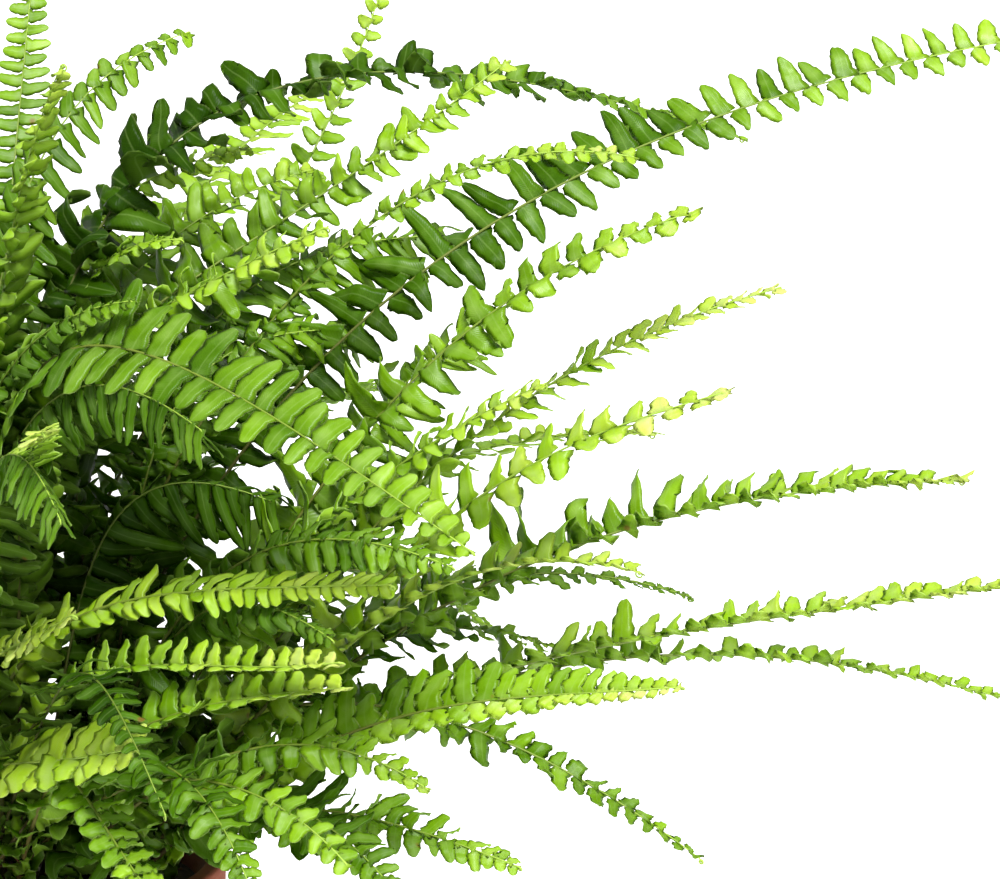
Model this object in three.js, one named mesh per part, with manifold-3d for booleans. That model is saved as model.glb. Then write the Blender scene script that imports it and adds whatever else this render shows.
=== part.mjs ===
// Potted fern: a plain clay pot, its soil and seventy-five arching fronds.
// Millimetres, Z up, base of the pot on Z = 0, pot axis on the origin. The photographed side faces -Y.
import * as THREE from 'three';
import Module from 'manifold-3d';

const wasm = await Module();
wasm.setup();
const { Manifold, Mesh } = wasm;

// Pot
const POT_HEIGHT = 195;
const POT_BASE_RADIUS = 75;
const POT_BODY_TOP_RADIUS = 102.5;
const RIM_RADIUS = 110;
const RIM_BAND_HEIGHT = 35;
const RIM_CHAMFER = 2.5;
const WALL = 8;
const FLOOR = 10;
const DRAIN_RADIUS = 5.5;
const DRAIN_RING_RADIUS = 38;
const DRAIN_COUNT = 4;
const POT_SEGMENTS = 40;

// Soil
const SOIL_TOP = 181;
const FIT_GAP = 0.3;

// Fronds
const FOOT_DEPTH = 14;
const HOLE_CLEARANCE = 0.4;
const PETIOLE_SHARE = 0.1;
const RIB_HALF_WIDTH = [1.6, 1.1, 0.5];
const RIB_HALF_HEIGHT = [1.3, 0.75, 0.34];
const LEAFLET_TIP_HALF = 0.32;
const LEAFLET_SWEEP = 14;
const LEAFLET_RISE = 9;
const ROOT_SPACING = 8.5;
const ROOT_LIMIT = 84;
const RIB_SPACING = 5;
const RIB_STEP = 3;
const CELL = 3;

// Fronds that the picture shows, one a row: tip x, y, z; launch and tip pitch; length of the launch and
// tip handles as shares of the chord; roll of the blade; half width of the blade; leaf colour; and, where
// the root doesn't stand under the tip's bearing, the angle from that bearing to the root's.
const SHOWN = [
  [480, 60, 554, 74, 9, 0.48, 0.36, 46, 27, 'mature'],
  [341, 127, 498, 89, -19, 0.66, 0.64, 14, 24, 'mature'],
  [158, -100, 488, 88, 24, 0.55, 0.60, 36, 24, 'young'],
  [234, 60, 540, 88, 36, 0.68, 0.60, 50, 24, 'young'],
  [178, 190, 566, 83, 66, 0.42, 0.36, 60, 20, 'young'],
  [18, 170, 584, 84, 60, 0.42, 0.36, 0, 22, 'young'],
  [92, 90, 550, 87, 10, 0.50, 0.36, 40, 24, 'young'],
  [47, -60, 551, 86, 55, 0.42, 0.36, 20, 22, 'young'],
  [287, -38, 510, 78, -10, 0.38, 0.33, 38, 18, 'young'],
  [220, -240, 379, 88, -20, 0.78, 0.75, 40, 28, 'mature', -76],
  [312, -43, 487, 61, 19, 0.48, 0.32, 40, 29, 'mature'],
  [350, -20, 451, 56, 16, 0.42, 0.36, 26, 25, 'young'],
  [248, -110, 424, 60, 26, 0.42, 0.36, 30, 24, 'young'],
  [324, -83, 416, 50, 18, 0.61, 0.34, 36, 26, 'young'],
  [431, -10, 365, 52, 1, 0.42, 0.34, 16, 26, 'mature'],
  [317, 80, 295, 58, -22, 0.42, 0.36, 8, 24, 'mature'],
  [290, -60, 335, 54, -12, 0.42, 0.36, 20, 22, 'young'],
  [479, -30, 327, 47, 9, 0.34, 0.50, 16, 25, 'mature'],
  [481, 40, 250, 42, -18, 0.42, 0.36, 10, 25, 'mature'],
  [306, -124, 299, 45, 9, 0.53, 0.34, 44, 28, 'mature'],
  [167, -184, 312, 52, 11, 0.47, 0.45, 62, 23, 'young', -45],
  [166, -200, 326, 73, 14, 0.56, 0.43, 62, 23, 'young', -39],
  [318, -50, 206, 64, -36, 0.50, 0.45, 24, 26, 'mature'],
  [186, -167, 351, 82, 8, 0.50, 0.59, 40, 26, 'young', -37],
  [58, -184, 342, 67, 24, 0.65, 0.50, 50, 24, 'young', -52],
  [84, -214, 294, 75, 17, 0.35, 0.64, 50, 29, 'young', -45],
  [96, -244, 238, 55, -9, 0.71, 0.59, 12, 25, 'mature', -7],
  [239, -120, 221, 50, -14, 0.42, 0.36, 30, 26, 'mature'],
  [49, -204, 421, 83, 16, 0.67, 0.64, 20, 22, 'young'],
  [200, -140, 260, 54, -26, 0.42, 0.36, 38, 26, 'mature', -20],
  [168, -190, 241, 56, -34, 0.42, 0.36, 38, 25, 'young', -26],
  [211, -130, 351, 66, -14, 0.50, 0.45, 40, 27, 'mature'],
];

// Fronds of the sides that the picture hides, in rings: count, first and last azimuth, reach, height,
// launch and tip pitch, launch and tip handles, half width of the blade.
const RINGS = [
  [4, 112, 255, 150, 560, 84, 50, 0.44, 0.36, 24],
  [6, 58, 262, 290, 486, 77, 8, 0.50, 0.40, 27],
  [8, 34, 266, 400, 372, 62, -8, 0.44, 0.40, 29],
  [8, 50, 258, 385, 236, 54, -32, 0.46, 0.40, 28],
];

// Shorter fronds that fill the plant, in rows like those of SHOWN. Each leaves another frond's petiole
// just above the soil and is one piece with it.
const FORKED = [
  [99, -250, 276, 50, -33, 0.75, 0.48, 6, 26, 'young'],
  [132, -210, 231, 58, -46, 0.46, 0.40, 18, 26, 'mature'],
  [190, -150, 215, 52, -36, 0.44, 0.40, 34, 26, 'mature'],
  [145, -60, 220, 50, -30, 0.45, 0.40, 24, 24, 'mature'],
  [132, -40, 362, 72, -20, 0.50, 0.50, 40, 26, 'mature'],
  [165, 30, 425, 76, -5, 0.50, 0.45, 40, 27, 'mature'],
  [204, 50, 464, 78, 0, 0.50, 0.45, 34, 27, 'mature'],
  [109, -150, 412, 78, -20, 0.50, 0.50, 20, 26, 'mature'],
  [77, -90, 456, 82, 10, 0.45, 0.40, 30, 25, 'mature'],
  [57, -220, 388, 76, -34, 0.50, 0.45, 6, 26, 'mature'],
  [144, 130, 483, 80, 10, 0.50, 0.40, 34, 26, 'young'],
  [220, 20, 427, 55, 30, 0.65, 0.30, 24, 27, 'mature'],
  [258, 90, 269, 52, -24, 0.44, 0.40, 14, 26, 'mature'],
  [162, -160, 327, 66, -16, 0.50, 0.45, 44, 25, 'mature'],
  [84, -120, 207, 56, -40, 0.50, 0.40, 24, 25, 'mature'],
  [120, 60, 501, 84, 8, 0.50, 0.40, 40, 26, 'mature'],
  [94, -20, 472, 84, 4, 0.50, 0.40, 30, 26, 'mature'],
];
const FORK_HEIGHT = 9;
const FORK_ANGLE = 13;
const FORK_REACH = 24;
const FORK_SLIMNESS = 0.8;

const AZIMUTH_VARIATION = 10;
const REACH_VARIATION = 70;
const HEIGHT_VARIATION = 60;
const PITCH_VARIATION = 14;
const ROLL_VARIATION = 24;

const UP = new THREE.Vector3(0, 0, 1);
const rad = (degrees) => (degrees * Math.PI) / 180;
const vec = (x, y, z) => new THREE.Vector3(x, y, z);
const along = (base, direction, amount) => base.clone().addScaledVector(direction, amount);
const heading = (azimuth, pitch) => vec(
  Math.cos(rad(pitch)) * Math.cos(rad(azimuth)),
  Math.cos(rad(pitch)) * Math.sin(rad(azimuth)),
  Math.sin(rad(pitch)),
);

// A repeatable variation between -0.5 and 0.5 for item i and purpose k.
function vary(i, k) {
  const x = Math.sin(i * 12.9898 + k * 78.233) * 43758.5453;
  return x - Math.floor(x) - 0.5;
}

const namedRow = ([x, y, z, launch, drop, k1, k2, roll, width, colour, turn = 0]) => ({
  tip: vec(x, y, z), launch, drop, k1, k2, roll, width, colour, turn,
});

function standingRows() {
  const rows = SHOWN.map(namedRow);
  for (const [count, first, last, reach, height, launch, drop, k1, k2, width] of RINGS) {
    for (let j = 0; j < count; j += 1) {
      const i = rows.length;
      const azimuth = rad(first + ((last - first) * j) / (count - 1) + vary(i, 1) * AZIMUTH_VARIATION);
      const r = reach + vary(i, 2) * REACH_VARIATION;
      rows.push({
        tip: vec(r * Math.cos(azimuth), r * Math.sin(azimuth), height + vary(i, 3) * HEIGHT_VARIATION),
        launch,
        drop: drop + vary(i, 4) * PITCH_VARIATION,
        k1,
        k2,
        roll: vary(i, 5) * ROLL_VARIATION,
        width,
        colour: vary(i, 6) > 0.15 ? 'young' : 'mature',
        turn: 0,
      });
    }
  }
  return rows;
}

// The line of a frond: a cubic from its root in the soil to its tip, walked by length.
class FrondLine {
  constructor(row, root) {
    const chord = row.tip.clone().sub(root);
    const azimuth = (Math.atan2(chord.y, chord.x) * 180) / Math.PI;
    const size = chord.length();
    this.a = root;
    this.b = along(root, heading(azimuth, row.launch), row.k1 * size);
    this.c = along(row.tip, heading(azimuth, row.drop), -row.k2 * size);
    this.d = row.tip;
    this.steps = 120;
    this.lengths = [0];
    for (let i = 1; i <= this.steps; i += 1) {
      const piece = this.at(i / this.steps).distanceTo(this.at((i - 1) / this.steps));
      this.lengths.push(this.lengths[i - 1] + piece);
    }
    this.length = this.lengths[this.steps];
    this.launch = this.slope(0);
  }

  at(t) {
    const q = 1 - t;
    return vec(0, 0, 0)
      .addScaledVector(this.a, q * q * q)
      .addScaledVector(this.b, 3 * q * q * t)
      .addScaledVector(this.c, 3 * q * t * t)
      .addScaledVector(this.d, t * t * t);
  }

  slope(t) {
    const q = 1 - t;
    return vec(0, 0, 0)
      .addScaledVector(this.b.clone().sub(this.a), q * q)
      .addScaledVector(this.c.clone().sub(this.b), 2 * q * t)
      .addScaledVector(this.d.clone().sub(this.c), t * t)
      .normalize();
  }

  // Point and axes at a length from the root; below the root the petiole runs straight on down.
  station(distance, roll) {
    let point;
    let tangent;
    if (distance <= 0) {
      tangent = this.launch.clone();
      point = along(this.a, tangent, distance);
    } else {
      let i = 1;
      while (i < this.steps && this.lengths[i] < distance) i += 1;
      const share = (distance - this.lengths[i - 1]) / (this.lengths[i] - this.lengths[i - 1]);
      const t = (i - 1 + Math.min(share, 1)) / this.steps;
      point = this.at(t);
      tangent = this.slope(t);
    }
    const level = UP.clone().cross(tangent).normalize();
    const rise = tangent.clone().cross(level);
    const turn = rad(roll);
    const side = level.clone().multiplyScalar(Math.cos(turn)).addScaledVector(rise, Math.sin(turn));
    return { point, tangent, side, normal: tangent.clone().cross(side) };
  }
}

// Space taken so far, in cells; a cell holds the number of the frond that fills it, or 255 for several.
class Space {
  constructor() {
    this.low = [-630, -630, 30];
    this.count = [420, 420, 220];
    this.cells = new Uint8Array(this.count[0] * this.count[1] * this.count[2]);
  }

  place(p) {
    return [
      Math.floor((p.x - this.low[0]) / CELL),
      Math.floor((p.y - this.low[1]) / CELL),
      Math.floor((p.z - this.low[2]) / CELL),
    ];
  }

  index(i, j, k) {
    return (k * this.count[1] + j) * this.count[0] + i;
  }

  fill(points, owner) {
    for (const p of points) {
      const [x, y, z] = this.place(p);
      for (let k = z - 1; k <= z + 1; k += 1) {
        for (let j = y - 1; j <= y + 1; j += 1) {
          for (let i = x - 1; i <= x + 1; i += 1) {
            const at = this.index(i, j, k);
            this.cells[at] = this.cells[at] === 0 || this.cells[at] === owner ? owner : 255;
          }
        }
      }
    }
  }

  free(points, owner) {
    return points.every((p) => {
      const found = this.cells[this.index(...this.place(p))];
      return found === 0 || found === owner;
    });
  }
}

function ribPoints(line, step, first) {
  const points = [];
  for (let s = first; s <= line.length; s += step) points.push(line.station(s, 0).point);
  return points;
}

// Whether two ribs come nearer than RIB_SPACING; far stretches are skipped in longer strides.
function ribsMeet(one, other) {
  return one.some((p) => {
    for (let j = 0; j < other.length;) {
      const spare = p.distanceTo(other[j]) - RIB_SPACING;
      if (spare < 0) return true;
      j += Math.max(1, Math.floor(spare / RIB_STEP));
    }
    return false;
  });
}

const clearOfPot = (p) => {
  const r = Math.hypot(p.x, p.y);
  if (r < POT_BODY_TOP_RADIUS - WALL) return p.z > SOIL_TOP + 2.5;
  return r > RIM_RADIUS + 4 || p.z > POT_HEIGHT + 3.5;
};

// Small moves of a tip, sideways and up, for a frond that would otherwise meet another one.
const TIP_MOVES = [[0, 0], [0, 12], [0, -12], [14, 0], [-14, 0], [0, 24], [0, -24], [24, 12], [-24, 12]];

function movedRows(row) {
  const bearing = Math.atan2(row.tip.y, row.tip.x);
  return TIP_MOVES.map(([aside, rise]) => {
    const move = vec(-aside * Math.sin(bearing), aside * Math.cos(bearing), rise);
    return { ...row, tip: row.tip.clone().add(move) };
  });
}

// The place of a root before any move: the steeper the launch, the nearer to the middle.
function rootPlace(row) {
  const bearing = Math.atan2(row.tip.y, row.tip.x) + rad(row.turn);
  const r = 6 + 66 * Math.min(1, (90 - row.launch) / 50);
  return vec(r * Math.cos(bearing), r * Math.sin(bearing), SOIL_TOP);
}

// Roots stand on a spiral of small steps around their first place, until the frond's rib is clear.
function clearLine(row, ribs) {
  for (const moved of movedRows(row)) {
    for (let step = 0; step < 220; step += 1) {
      const away = 3 * Math.sqrt(step);
      const turn = rad(137.5) * step;
      const root = rootPlace(row).add(vec(away * Math.cos(turn), away * Math.sin(turn), 0));
      const crowded = ribs.some(({ line }) => line.a.distanceTo(root) < ROOT_SPACING);
      if (!crowded && Math.hypot(root.x, root.y) < ROOT_LIMIT) {
        const line = new FrondLine(moved, root);
        const points = ribPoints(line, RIB_STEP, -FOOT_DEPTH);
        if (!ribs.some((other) => ribsMeet(points, other.points))) return { line, points };
      }
    }
  }
  throw new Error(`no clear line for frond ${ribs.length + 1}`);
}

// A forked frond takes the nearest free petiole that it leaves at a plain angle and with a clear rib.
function forkedLine(row, ribs, hosts) {
  const place = rootPlace(row);
  const order = hosts
    .filter((host) => host.fork === null)
    .sort((p, q) => p.line.a.distanceTo(place) - q.line.a.distanceTo(place));
  for (const moved of movedRows(row)) {
    for (const host of order) {
      const start = host.line.station(FORK_HEIGHT, 0);
      const line = new FrondLine(moved, start.point);
      const points = ribPoints(line, RIB_STEP, 0);
      const leaves = start.tangent.dot(line.launch) < Math.cos(rad(FORK_ANGLE));
      const outer = points.slice(Math.ceil(FORK_REACH / RIB_STEP));
      const meets = ribs.some((other) => ribsMeet(other === host ? outer : points, other.points));
      if (leaves && !meets) {
        host.fork = ribs.length;
        return { line, points };
      }
    }
  }
  throw new Error(`no clear petiole for frond ${ribs.length + 1}`);
}

const blend3 = ([a, b, c], u) => (u < 0 ? a + (b - a) * (1 + u) : b + (c - b) * u);

// Half width of the blade along its length: a short rise, a long even run and a taper to the tip.
function bladeWidth(width, u) {
  const rise = Math.min(1, 0.42 + (0.58 * u) / 0.22);
  const taper = u < 0.5 ? 1 : Math.pow((1 - u) / 0.5, 0.8);
  return Math.max(3.5, width * rise * taper);
}

// Stations of a frond: the foot, unless it is forked, the petiole and the leafy part.
function stationsOf(line, row, forked) {
  const pairs = Math.round(6.1 + line.length / 75);
  const start = PETIOLE_SHARE * line.length;
  const petiole = forked ? [0, start * 0.5] : [-FOOT_DEPTH, 0, start * 0.5];
  const leafy = [];
  for (let i = 0; i <= pairs; i += 1) {
    const u = i / pairs;
    leafy.push(start + (line.length - start) * u * (1.12 - 0.12 * u));
  }
  const slim = forked ? FORK_SLIMNESS : 1;
  const places = [...petiole, ...leafy].map((s) => {
    const u = s < start ? s / start - 1 : (s - start) / (line.length - start);
    const lower = Math.max(u, -1);
    return {
      ...line.station(s, row.roll * Math.min(1, Math.max(0, s / start))),
      u,
      halfWidth: blend3(RIB_HALF_WIDTH, lower) * slim,
      halfHeight: blend3(RIB_HALF_HEIGHT, lower) * slim,
    };
  });
  return { places, first: petiole.length };
}

// Leaflets that would touch another frond are bent clear or kept short.
const FITS = [
  [1, 0], [1, 14], [1, -14], [0.85, 0], [0.85, 24], [0.85, -24], [0.65, 0], [0.65, 24], [0.65, -24],
  [0.45, 0], [0.45, 20], [0.3, 0], [0.18, 0],
];

function leafletPoints(rear, front, tip) {
  const size = tip.distanceTo(rear);
  const across = rear.distanceTo(front);
  const points = [];
  const rows = Math.ceil(size / 2);
  for (let i = 0; i <= rows; i += 1) {
    const f = i / rows;
    const columns = Math.max(1, Math.ceil((across * (1 - f)) / 2));
    for (let j = 0; j <= columns; j += 1) {
      points.push(rear.clone().lerp(front, j / columns).lerp(tip, f));
    }
  }
  return points;
}

function leafletTip(behind, ahead, hand, reach, rise) {
  const tangent = behind.tangent.clone().add(ahead.tangent).normalize();
  const side = behind.side.clone().add(ahead.side).normalize();
  const normal = tangent.clone().cross(side);
  const u = (behind.u + ahead.u) / 2;
  const sweep = rad(LEAFLET_SWEEP + 30 * u * u);
  const lift = rad(rise);
  const out = vec(0, 0, 0)
    .addScaledVector(side, hand * Math.cos(sweep) * Math.cos(lift))
    .addScaledVector(normal, Math.cos(sweep) * Math.sin(lift))
    .addScaledVector(tangent, Math.sin(sweep));
  const middle = behind.point.clone().lerp(ahead.point, 0.5)
    .addScaledVector(side, hand * behind.halfWidth);
  const face = tangent.clone().cross(out).multiplyScalar(hand).normalize();
  const tip = along(middle, out, reach);
  return { tip, top: along(tip, face, LEAFLET_TIP_HALF), bottom: along(tip, face, -LEAFLET_TIP_HALF) };
}

function leafletsOf({ places, first }, row, space, owner) {
  const leaflets = [];
  for (let i = first; i < places.length - 1; i += 1) {
    const behind = places[i];
    const ahead = places[i + 1];
    const full = bladeWidth(row.width, (behind.u + ahead.u) / 2);
    const pair = [1, -1].map((hand) => {
      const rear = along(behind.point, behind.side, hand * behind.halfWidth);
      const front = along(ahead.point, ahead.side, hand * ahead.halfWidth);
      const lean = LEAFLET_RISE + 10 * vary(owner * 40 + i, 7 + hand);
      for (const [share, bend] of FITS) {
        const found = leafletTip(behind, ahead, hand, full * share, lean + bend);
        const points = leafletPoints(rear, front, found.tip);
        if (points.every(clearOfPot) && space.free(points, owner)) {
          space.fill(points, owner);
          return found;
        }
      }
      return leafletTip(behind, ahead, hand, 1.5, 0);
    });
    leaflets.push(pair);
  }
  return leaflets;
}

// A frond as one closed solid: a four-sided rib whose side faces run out into pointed leaflets.
function frondSolid({ places, first }, leaflets) {
  const points = [];
  const faces = [];
  const add = (p) => points.push(p) - 1;
  const quad = (a, b, c, d) => faces.push([a, b, c], [a, c, d]);
  const rings = places.map(({ point, side, normal, halfWidth, halfHeight }) => {
    const corner = (w, h) => add(along(along(point, side, w), normal, h));
    return {
      leftTop: corner(halfWidth, halfHeight),
      rightTop: corner(-halfWidth, halfHeight),
      rightBottom: corner(-halfWidth, -halfHeight),
      leftBottom: corner(halfWidth, -halfHeight),
    };
  });
  const foot = rings[0];
  const last = rings[rings.length - 1];
  quad(foot.rightTop, foot.leftTop, foot.leftBottom, foot.rightBottom);
  quad(last.rightBottom, last.leftBottom, last.leftTop, last.rightTop);
  for (let i = 0; i < rings.length - 1; i += 1) {
    const p = rings[i];
    const q = rings[i + 1];
    quad(p.rightTop, q.rightTop, q.leftTop, p.leftTop);
    faces.push([p.leftBottom, q.leftBottom, p.rightBottom]);
    faces.push([q.leftBottom, q.rightBottom, p.rightBottom]);
    if (i < first) {
      quad(p.leftBottom, p.leftTop, q.leftTop, q.leftBottom);
      quad(q.rightBottom, q.rightTop, p.rightTop, p.rightBottom);
    } else {
      const [left, right] = leaflets[i - first];
      const leftTipTop = add(left.top);
      const leftTipBottom = add(left.bottom);
      faces.push([p.leftTop, q.leftTop, leftTipTop]);
      faces.push([q.leftBottom, p.leftBottom, leftTipBottom]);
      quad(p.leftBottom, p.leftTop, leftTipTop, leftTipBottom);
      quad(leftTipBottom, leftTipTop, q.leftTop, q.leftBottom);
      const rightTipTop = add(right.top);
      const rightTipBottom = add(right.bottom);
      faces.push([q.rightTop, p.rightTop, rightTipTop]);
      faces.push([p.rightBottom, q.rightBottom, rightTipBottom]);
      quad(q.rightBottom, q.rightTop, rightTipTop, rightTipBottom);
      quad(rightTipBottom, rightTipTop, p.rightTop, p.rightBottom);
    }
  }
  return new Manifold(new Mesh({
    numProp: 3,
    vertProperties: new Float32Array(points.flatMap((p) => [p.x, p.y, p.z])),
    triVerts: new Uint32Array(faces.flat()),
  }));
}

function geometryFrom(positions, indices) {
  const geometry = new THREE.BufferGeometry();
  geometry.setAttribute('position', new THREE.Float32BufferAttribute(positions, 3));
  geometry.setIndex(indices);
  geometry.computeVertexNormals();
  return geometry;
}

function geometryOf(solid) {
  const mesh = solid.getMesh();
  return geometryFrom(Array.from(mesh.vertProperties), Array.from(mesh.triVerts));
}

// A four-sided hole that follows the foot of a petiole, a little wider all round.
function footHole({ places }) {
  const { point, tangent, side, normal, halfWidth, halfHeight } = places[1];
  const w = halfWidth + HOLE_CLEARANCE;
  const h = halfHeight + HOLE_CLEARANCE;
  const ends = [-FOOT_DEPTH - HOLE_CLEARANCE, 9];
  const corners = ends.flatMap((s) => [[w, h], [-w, h], [-w, -h], [w, -h]].map(([a, b]) => {
    const p = along(along(along(point, tangent, s), side, a), normal, b);
    return [p.x, p.y, p.z];
  }));
  return Manifold.hull(corners);
}

const innerRadius = (z) => {
  const low = POT_BASE_RADIUS - WALL;
  const high = RIM_RADIUS - WALL - 1;
  return low + ((high - low) * (z - FLOOR)) / (POT_HEIGHT - FLOOR);
};

function potSolid() {
  const band = POT_HEIGHT - RIM_BAND_HEIGHT;
  const body = Manifold.revolve([[
    [0, 0], [POT_BASE_RADIUS, 0], [POT_BODY_TOP_RADIUS, band], [RIM_RADIUS - 1, band],
    [RIM_RADIUS, POT_HEIGHT - RIM_CHAMFER], [RIM_RADIUS - RIM_CHAMFER, POT_HEIGHT],
    [innerRadius(POT_HEIGHT), POT_HEIGHT], [innerRadius(FLOOR), FLOOR], [0, FLOOR],
  ]], POT_SEGMENTS);
  const drains = [];
  for (let i = 0; i < DRAIN_COUNT; i += 1) {
    const turn = rad(45 + (360 * i) / DRAIN_COUNT);
    drains.push(Manifold.cylinder(FLOOR * 3, DRAIN_RADIUS, DRAIN_RADIUS, 10, true)
      .translate([DRAIN_RING_RADIUS * Math.cos(turn), DRAIN_RING_RADIUS * Math.sin(turn), 0]));
  }
  return body.subtract(Manifold.union(drains));
}

function soilSolid(feet) {
  const low = FLOOR + FIT_GAP;
  const body = Manifold.revolve([[
    [0, low], [innerRadius(low) - FIT_GAP, low],
    [innerRadius(SOIL_TOP) - FIT_GAP, SOIL_TOP], [0, SOIL_TOP],
  ]], POT_SEGMENTS);
  return body.subtract(Manifold.union(feet.map(footHole)));
}

const COLOURS = { young: 0x9ccb3b, mature: 0x4c8a26 };

function piece(name, geometry, colour, roughness) {
  const material = new THREE.MeshStandardMaterial({ color: colour, roughness, metalness: 0 });
  const mesh = new THREE.Mesh(geometry, material);
  mesh.name = name;
  return mesh;
}

const standing = standingRows();
const forked = FORKED.map(namedRow);
const rows = [...standing, ...forked];
const ribs = [];
standing.forEach((row) => ribs.push({ ...clearLine(row, ribs), fork: null }));
const hosts = ribs.slice();
forked.forEach((row) => ribs.push(forkedLine(row, ribs, hosts)));

const fronds = ribs.map(({ line }, i) => stationsOf(line, rows[i], i >= standing.length));
const space = new Space();
ribs.forEach(({ line }, i) => space.fill(ribPoints(line, 2, 0), i + 1));
const solids = fronds.map((frond, i) => frondSolid(frond, leafletsOf(frond, rows[i], space, i + 1)));

const group = new THREE.Group();
group.name = 'potted_fern';
group.add(piece('pot', geometryOf(potSolid()), 0xa8552f, 0.85));
group.add(piece('soil', geometryOf(soilSolid(fronds.slice(0, standing.length))), 0x33241a, 0.95));
hosts.forEach(({ fork }, i) => {
  const solid = fork === null ? solids[i] : solids[i].add(solids[fork]);
  const name = `frond_${String(i + 1).padStart(2, '0')}`;
  group.add(piece(name, geometryOf(solid), COLOURS[rows[i].colour], 0.6));
});

export default group;
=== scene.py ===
"""Potted sword fern: leafy fronds cut to the rib, a plain clay pot, potting mix and a pale studio
floor."""
import math
from functools import partial

import bpy
import numpy as np
from bpy.props import FloatProperty, FloatVectorProperty, IntProperty, PointerProperty
from mathutils import Matrix


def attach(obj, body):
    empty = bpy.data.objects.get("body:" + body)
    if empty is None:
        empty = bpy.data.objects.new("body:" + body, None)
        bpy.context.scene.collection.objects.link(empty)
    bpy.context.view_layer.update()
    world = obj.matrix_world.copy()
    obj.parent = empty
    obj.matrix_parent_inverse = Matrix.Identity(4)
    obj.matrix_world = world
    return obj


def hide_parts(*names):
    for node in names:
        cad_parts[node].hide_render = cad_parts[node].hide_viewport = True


bl_info = {
    "name": "Potted Fern",
    "version": (1, 0, 0),
    "blender": (4, 5, 0),
    "location": "3D View > Sidebar > Fern",
    "description": "Builds a potted sword fern over its solid frame",
    "category": "Object",
}

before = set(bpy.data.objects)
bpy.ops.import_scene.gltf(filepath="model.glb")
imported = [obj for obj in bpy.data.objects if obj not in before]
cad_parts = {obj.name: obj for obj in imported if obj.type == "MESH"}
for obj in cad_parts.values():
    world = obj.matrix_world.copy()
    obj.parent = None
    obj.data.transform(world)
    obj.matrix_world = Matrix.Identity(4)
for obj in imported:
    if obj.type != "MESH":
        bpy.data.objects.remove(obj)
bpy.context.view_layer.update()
MM = 0.001
UP = np.array([0.0, 0.0, 1.0])

# Sizes that the fronds share with the solids, in millimetres and degrees.
SOIL_TOP = 181.0
FOOT_DEPTH = 14.0
PETIOLE_SHARE = 0.1
FORK_HEIGHT = 9.0
STANDING_COUNT = 58

# Where a frond's leaflets begin, as a share of its petiole; how far they stay from the tip, in millimetres;
# and how far the near row stands on from the other, as a share of the spacing.
FIRST_LEAFLET = 0.45
LAST_LEAFLET_GAP = 1.2
NEAR_ROW_SHIFT = 0.45

# How near a solid's vertex has to be to its row's tip, and how high the solid's lowest face reaches, in
# millimetres.
TIP_TOLERANCE = 1.5
LOW_FACE_REACH = 3.2

# Pot and soil, in millimetres.
POT_HEIGHT = 195.0
POT_BASE_RADIUS = 75.0
POT_BODY_TOP_RADIUS = 102.5
RIM_RADIUS = 110.0
RIM_BAND_HEIGHT = 35.0
LIP_HEIGHT = 3.6
WALL = 8.0
POT_FLOOR = 10.0
DRAIN_COUNT = 4
DRAIN_RADIUS = 5.5
DRAIN_RING_RADIUS = 38.0
WALL_WOBBLE = 0.12
SOIL_GAP = 0.4
SOIL_WAVES = 26

# Scales reach this far up a petiole. Croziers: how many, and the radius of a coil, in millimetres.
SCALES_REACH = 42.0
CROZIER_COUNT = 9
CROZIER_COIL_RADIUS = 5.4

# Points along a frond's line and along its rib, round the pot, across and round the soil, and along a
# crozier; and the sides of the floor.
LINE_POINTS = 121
RIB_STATIONS = 44
TIP_COIL_STATIONS = 14
POT_SEGMENTS = 120
SOIL_RINGS = 46
SOIL_SEGMENTS = 150
CROZIER_STATIONS = 54
FLOOR_SIDES = 96

# Seeds of the random variation, a frond's number being added to the first.
FROND_SEED = 700
SOIL_SEED = 41
SCALES_SEED = 97
CROZIER_SEED = 23

# Material slots of a frond.
TOP_SLOT, RIB_SLOT, UNDERSIDE_SLOT = range(3)

# The camera stands 2.4 m off, 10 degrees above the level, where a millimetre is 2.3 pixels of the
# picture.
PIXELS_PER_MM = 2.3
CAMERA_DISTANCE = 2400.0
CAMERA_RISE = 10.0
PICTURE = (1000, 879)
POT_AXIS_PIXEL = -31.0
POT_RIM_PIXEL = 862.0
SENSOR_WIDTH = 36.0
CAMERA_REACH = 150.0
FLOOR_REACH = 60.0
KEY_DISTANCE = 3.0

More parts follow.
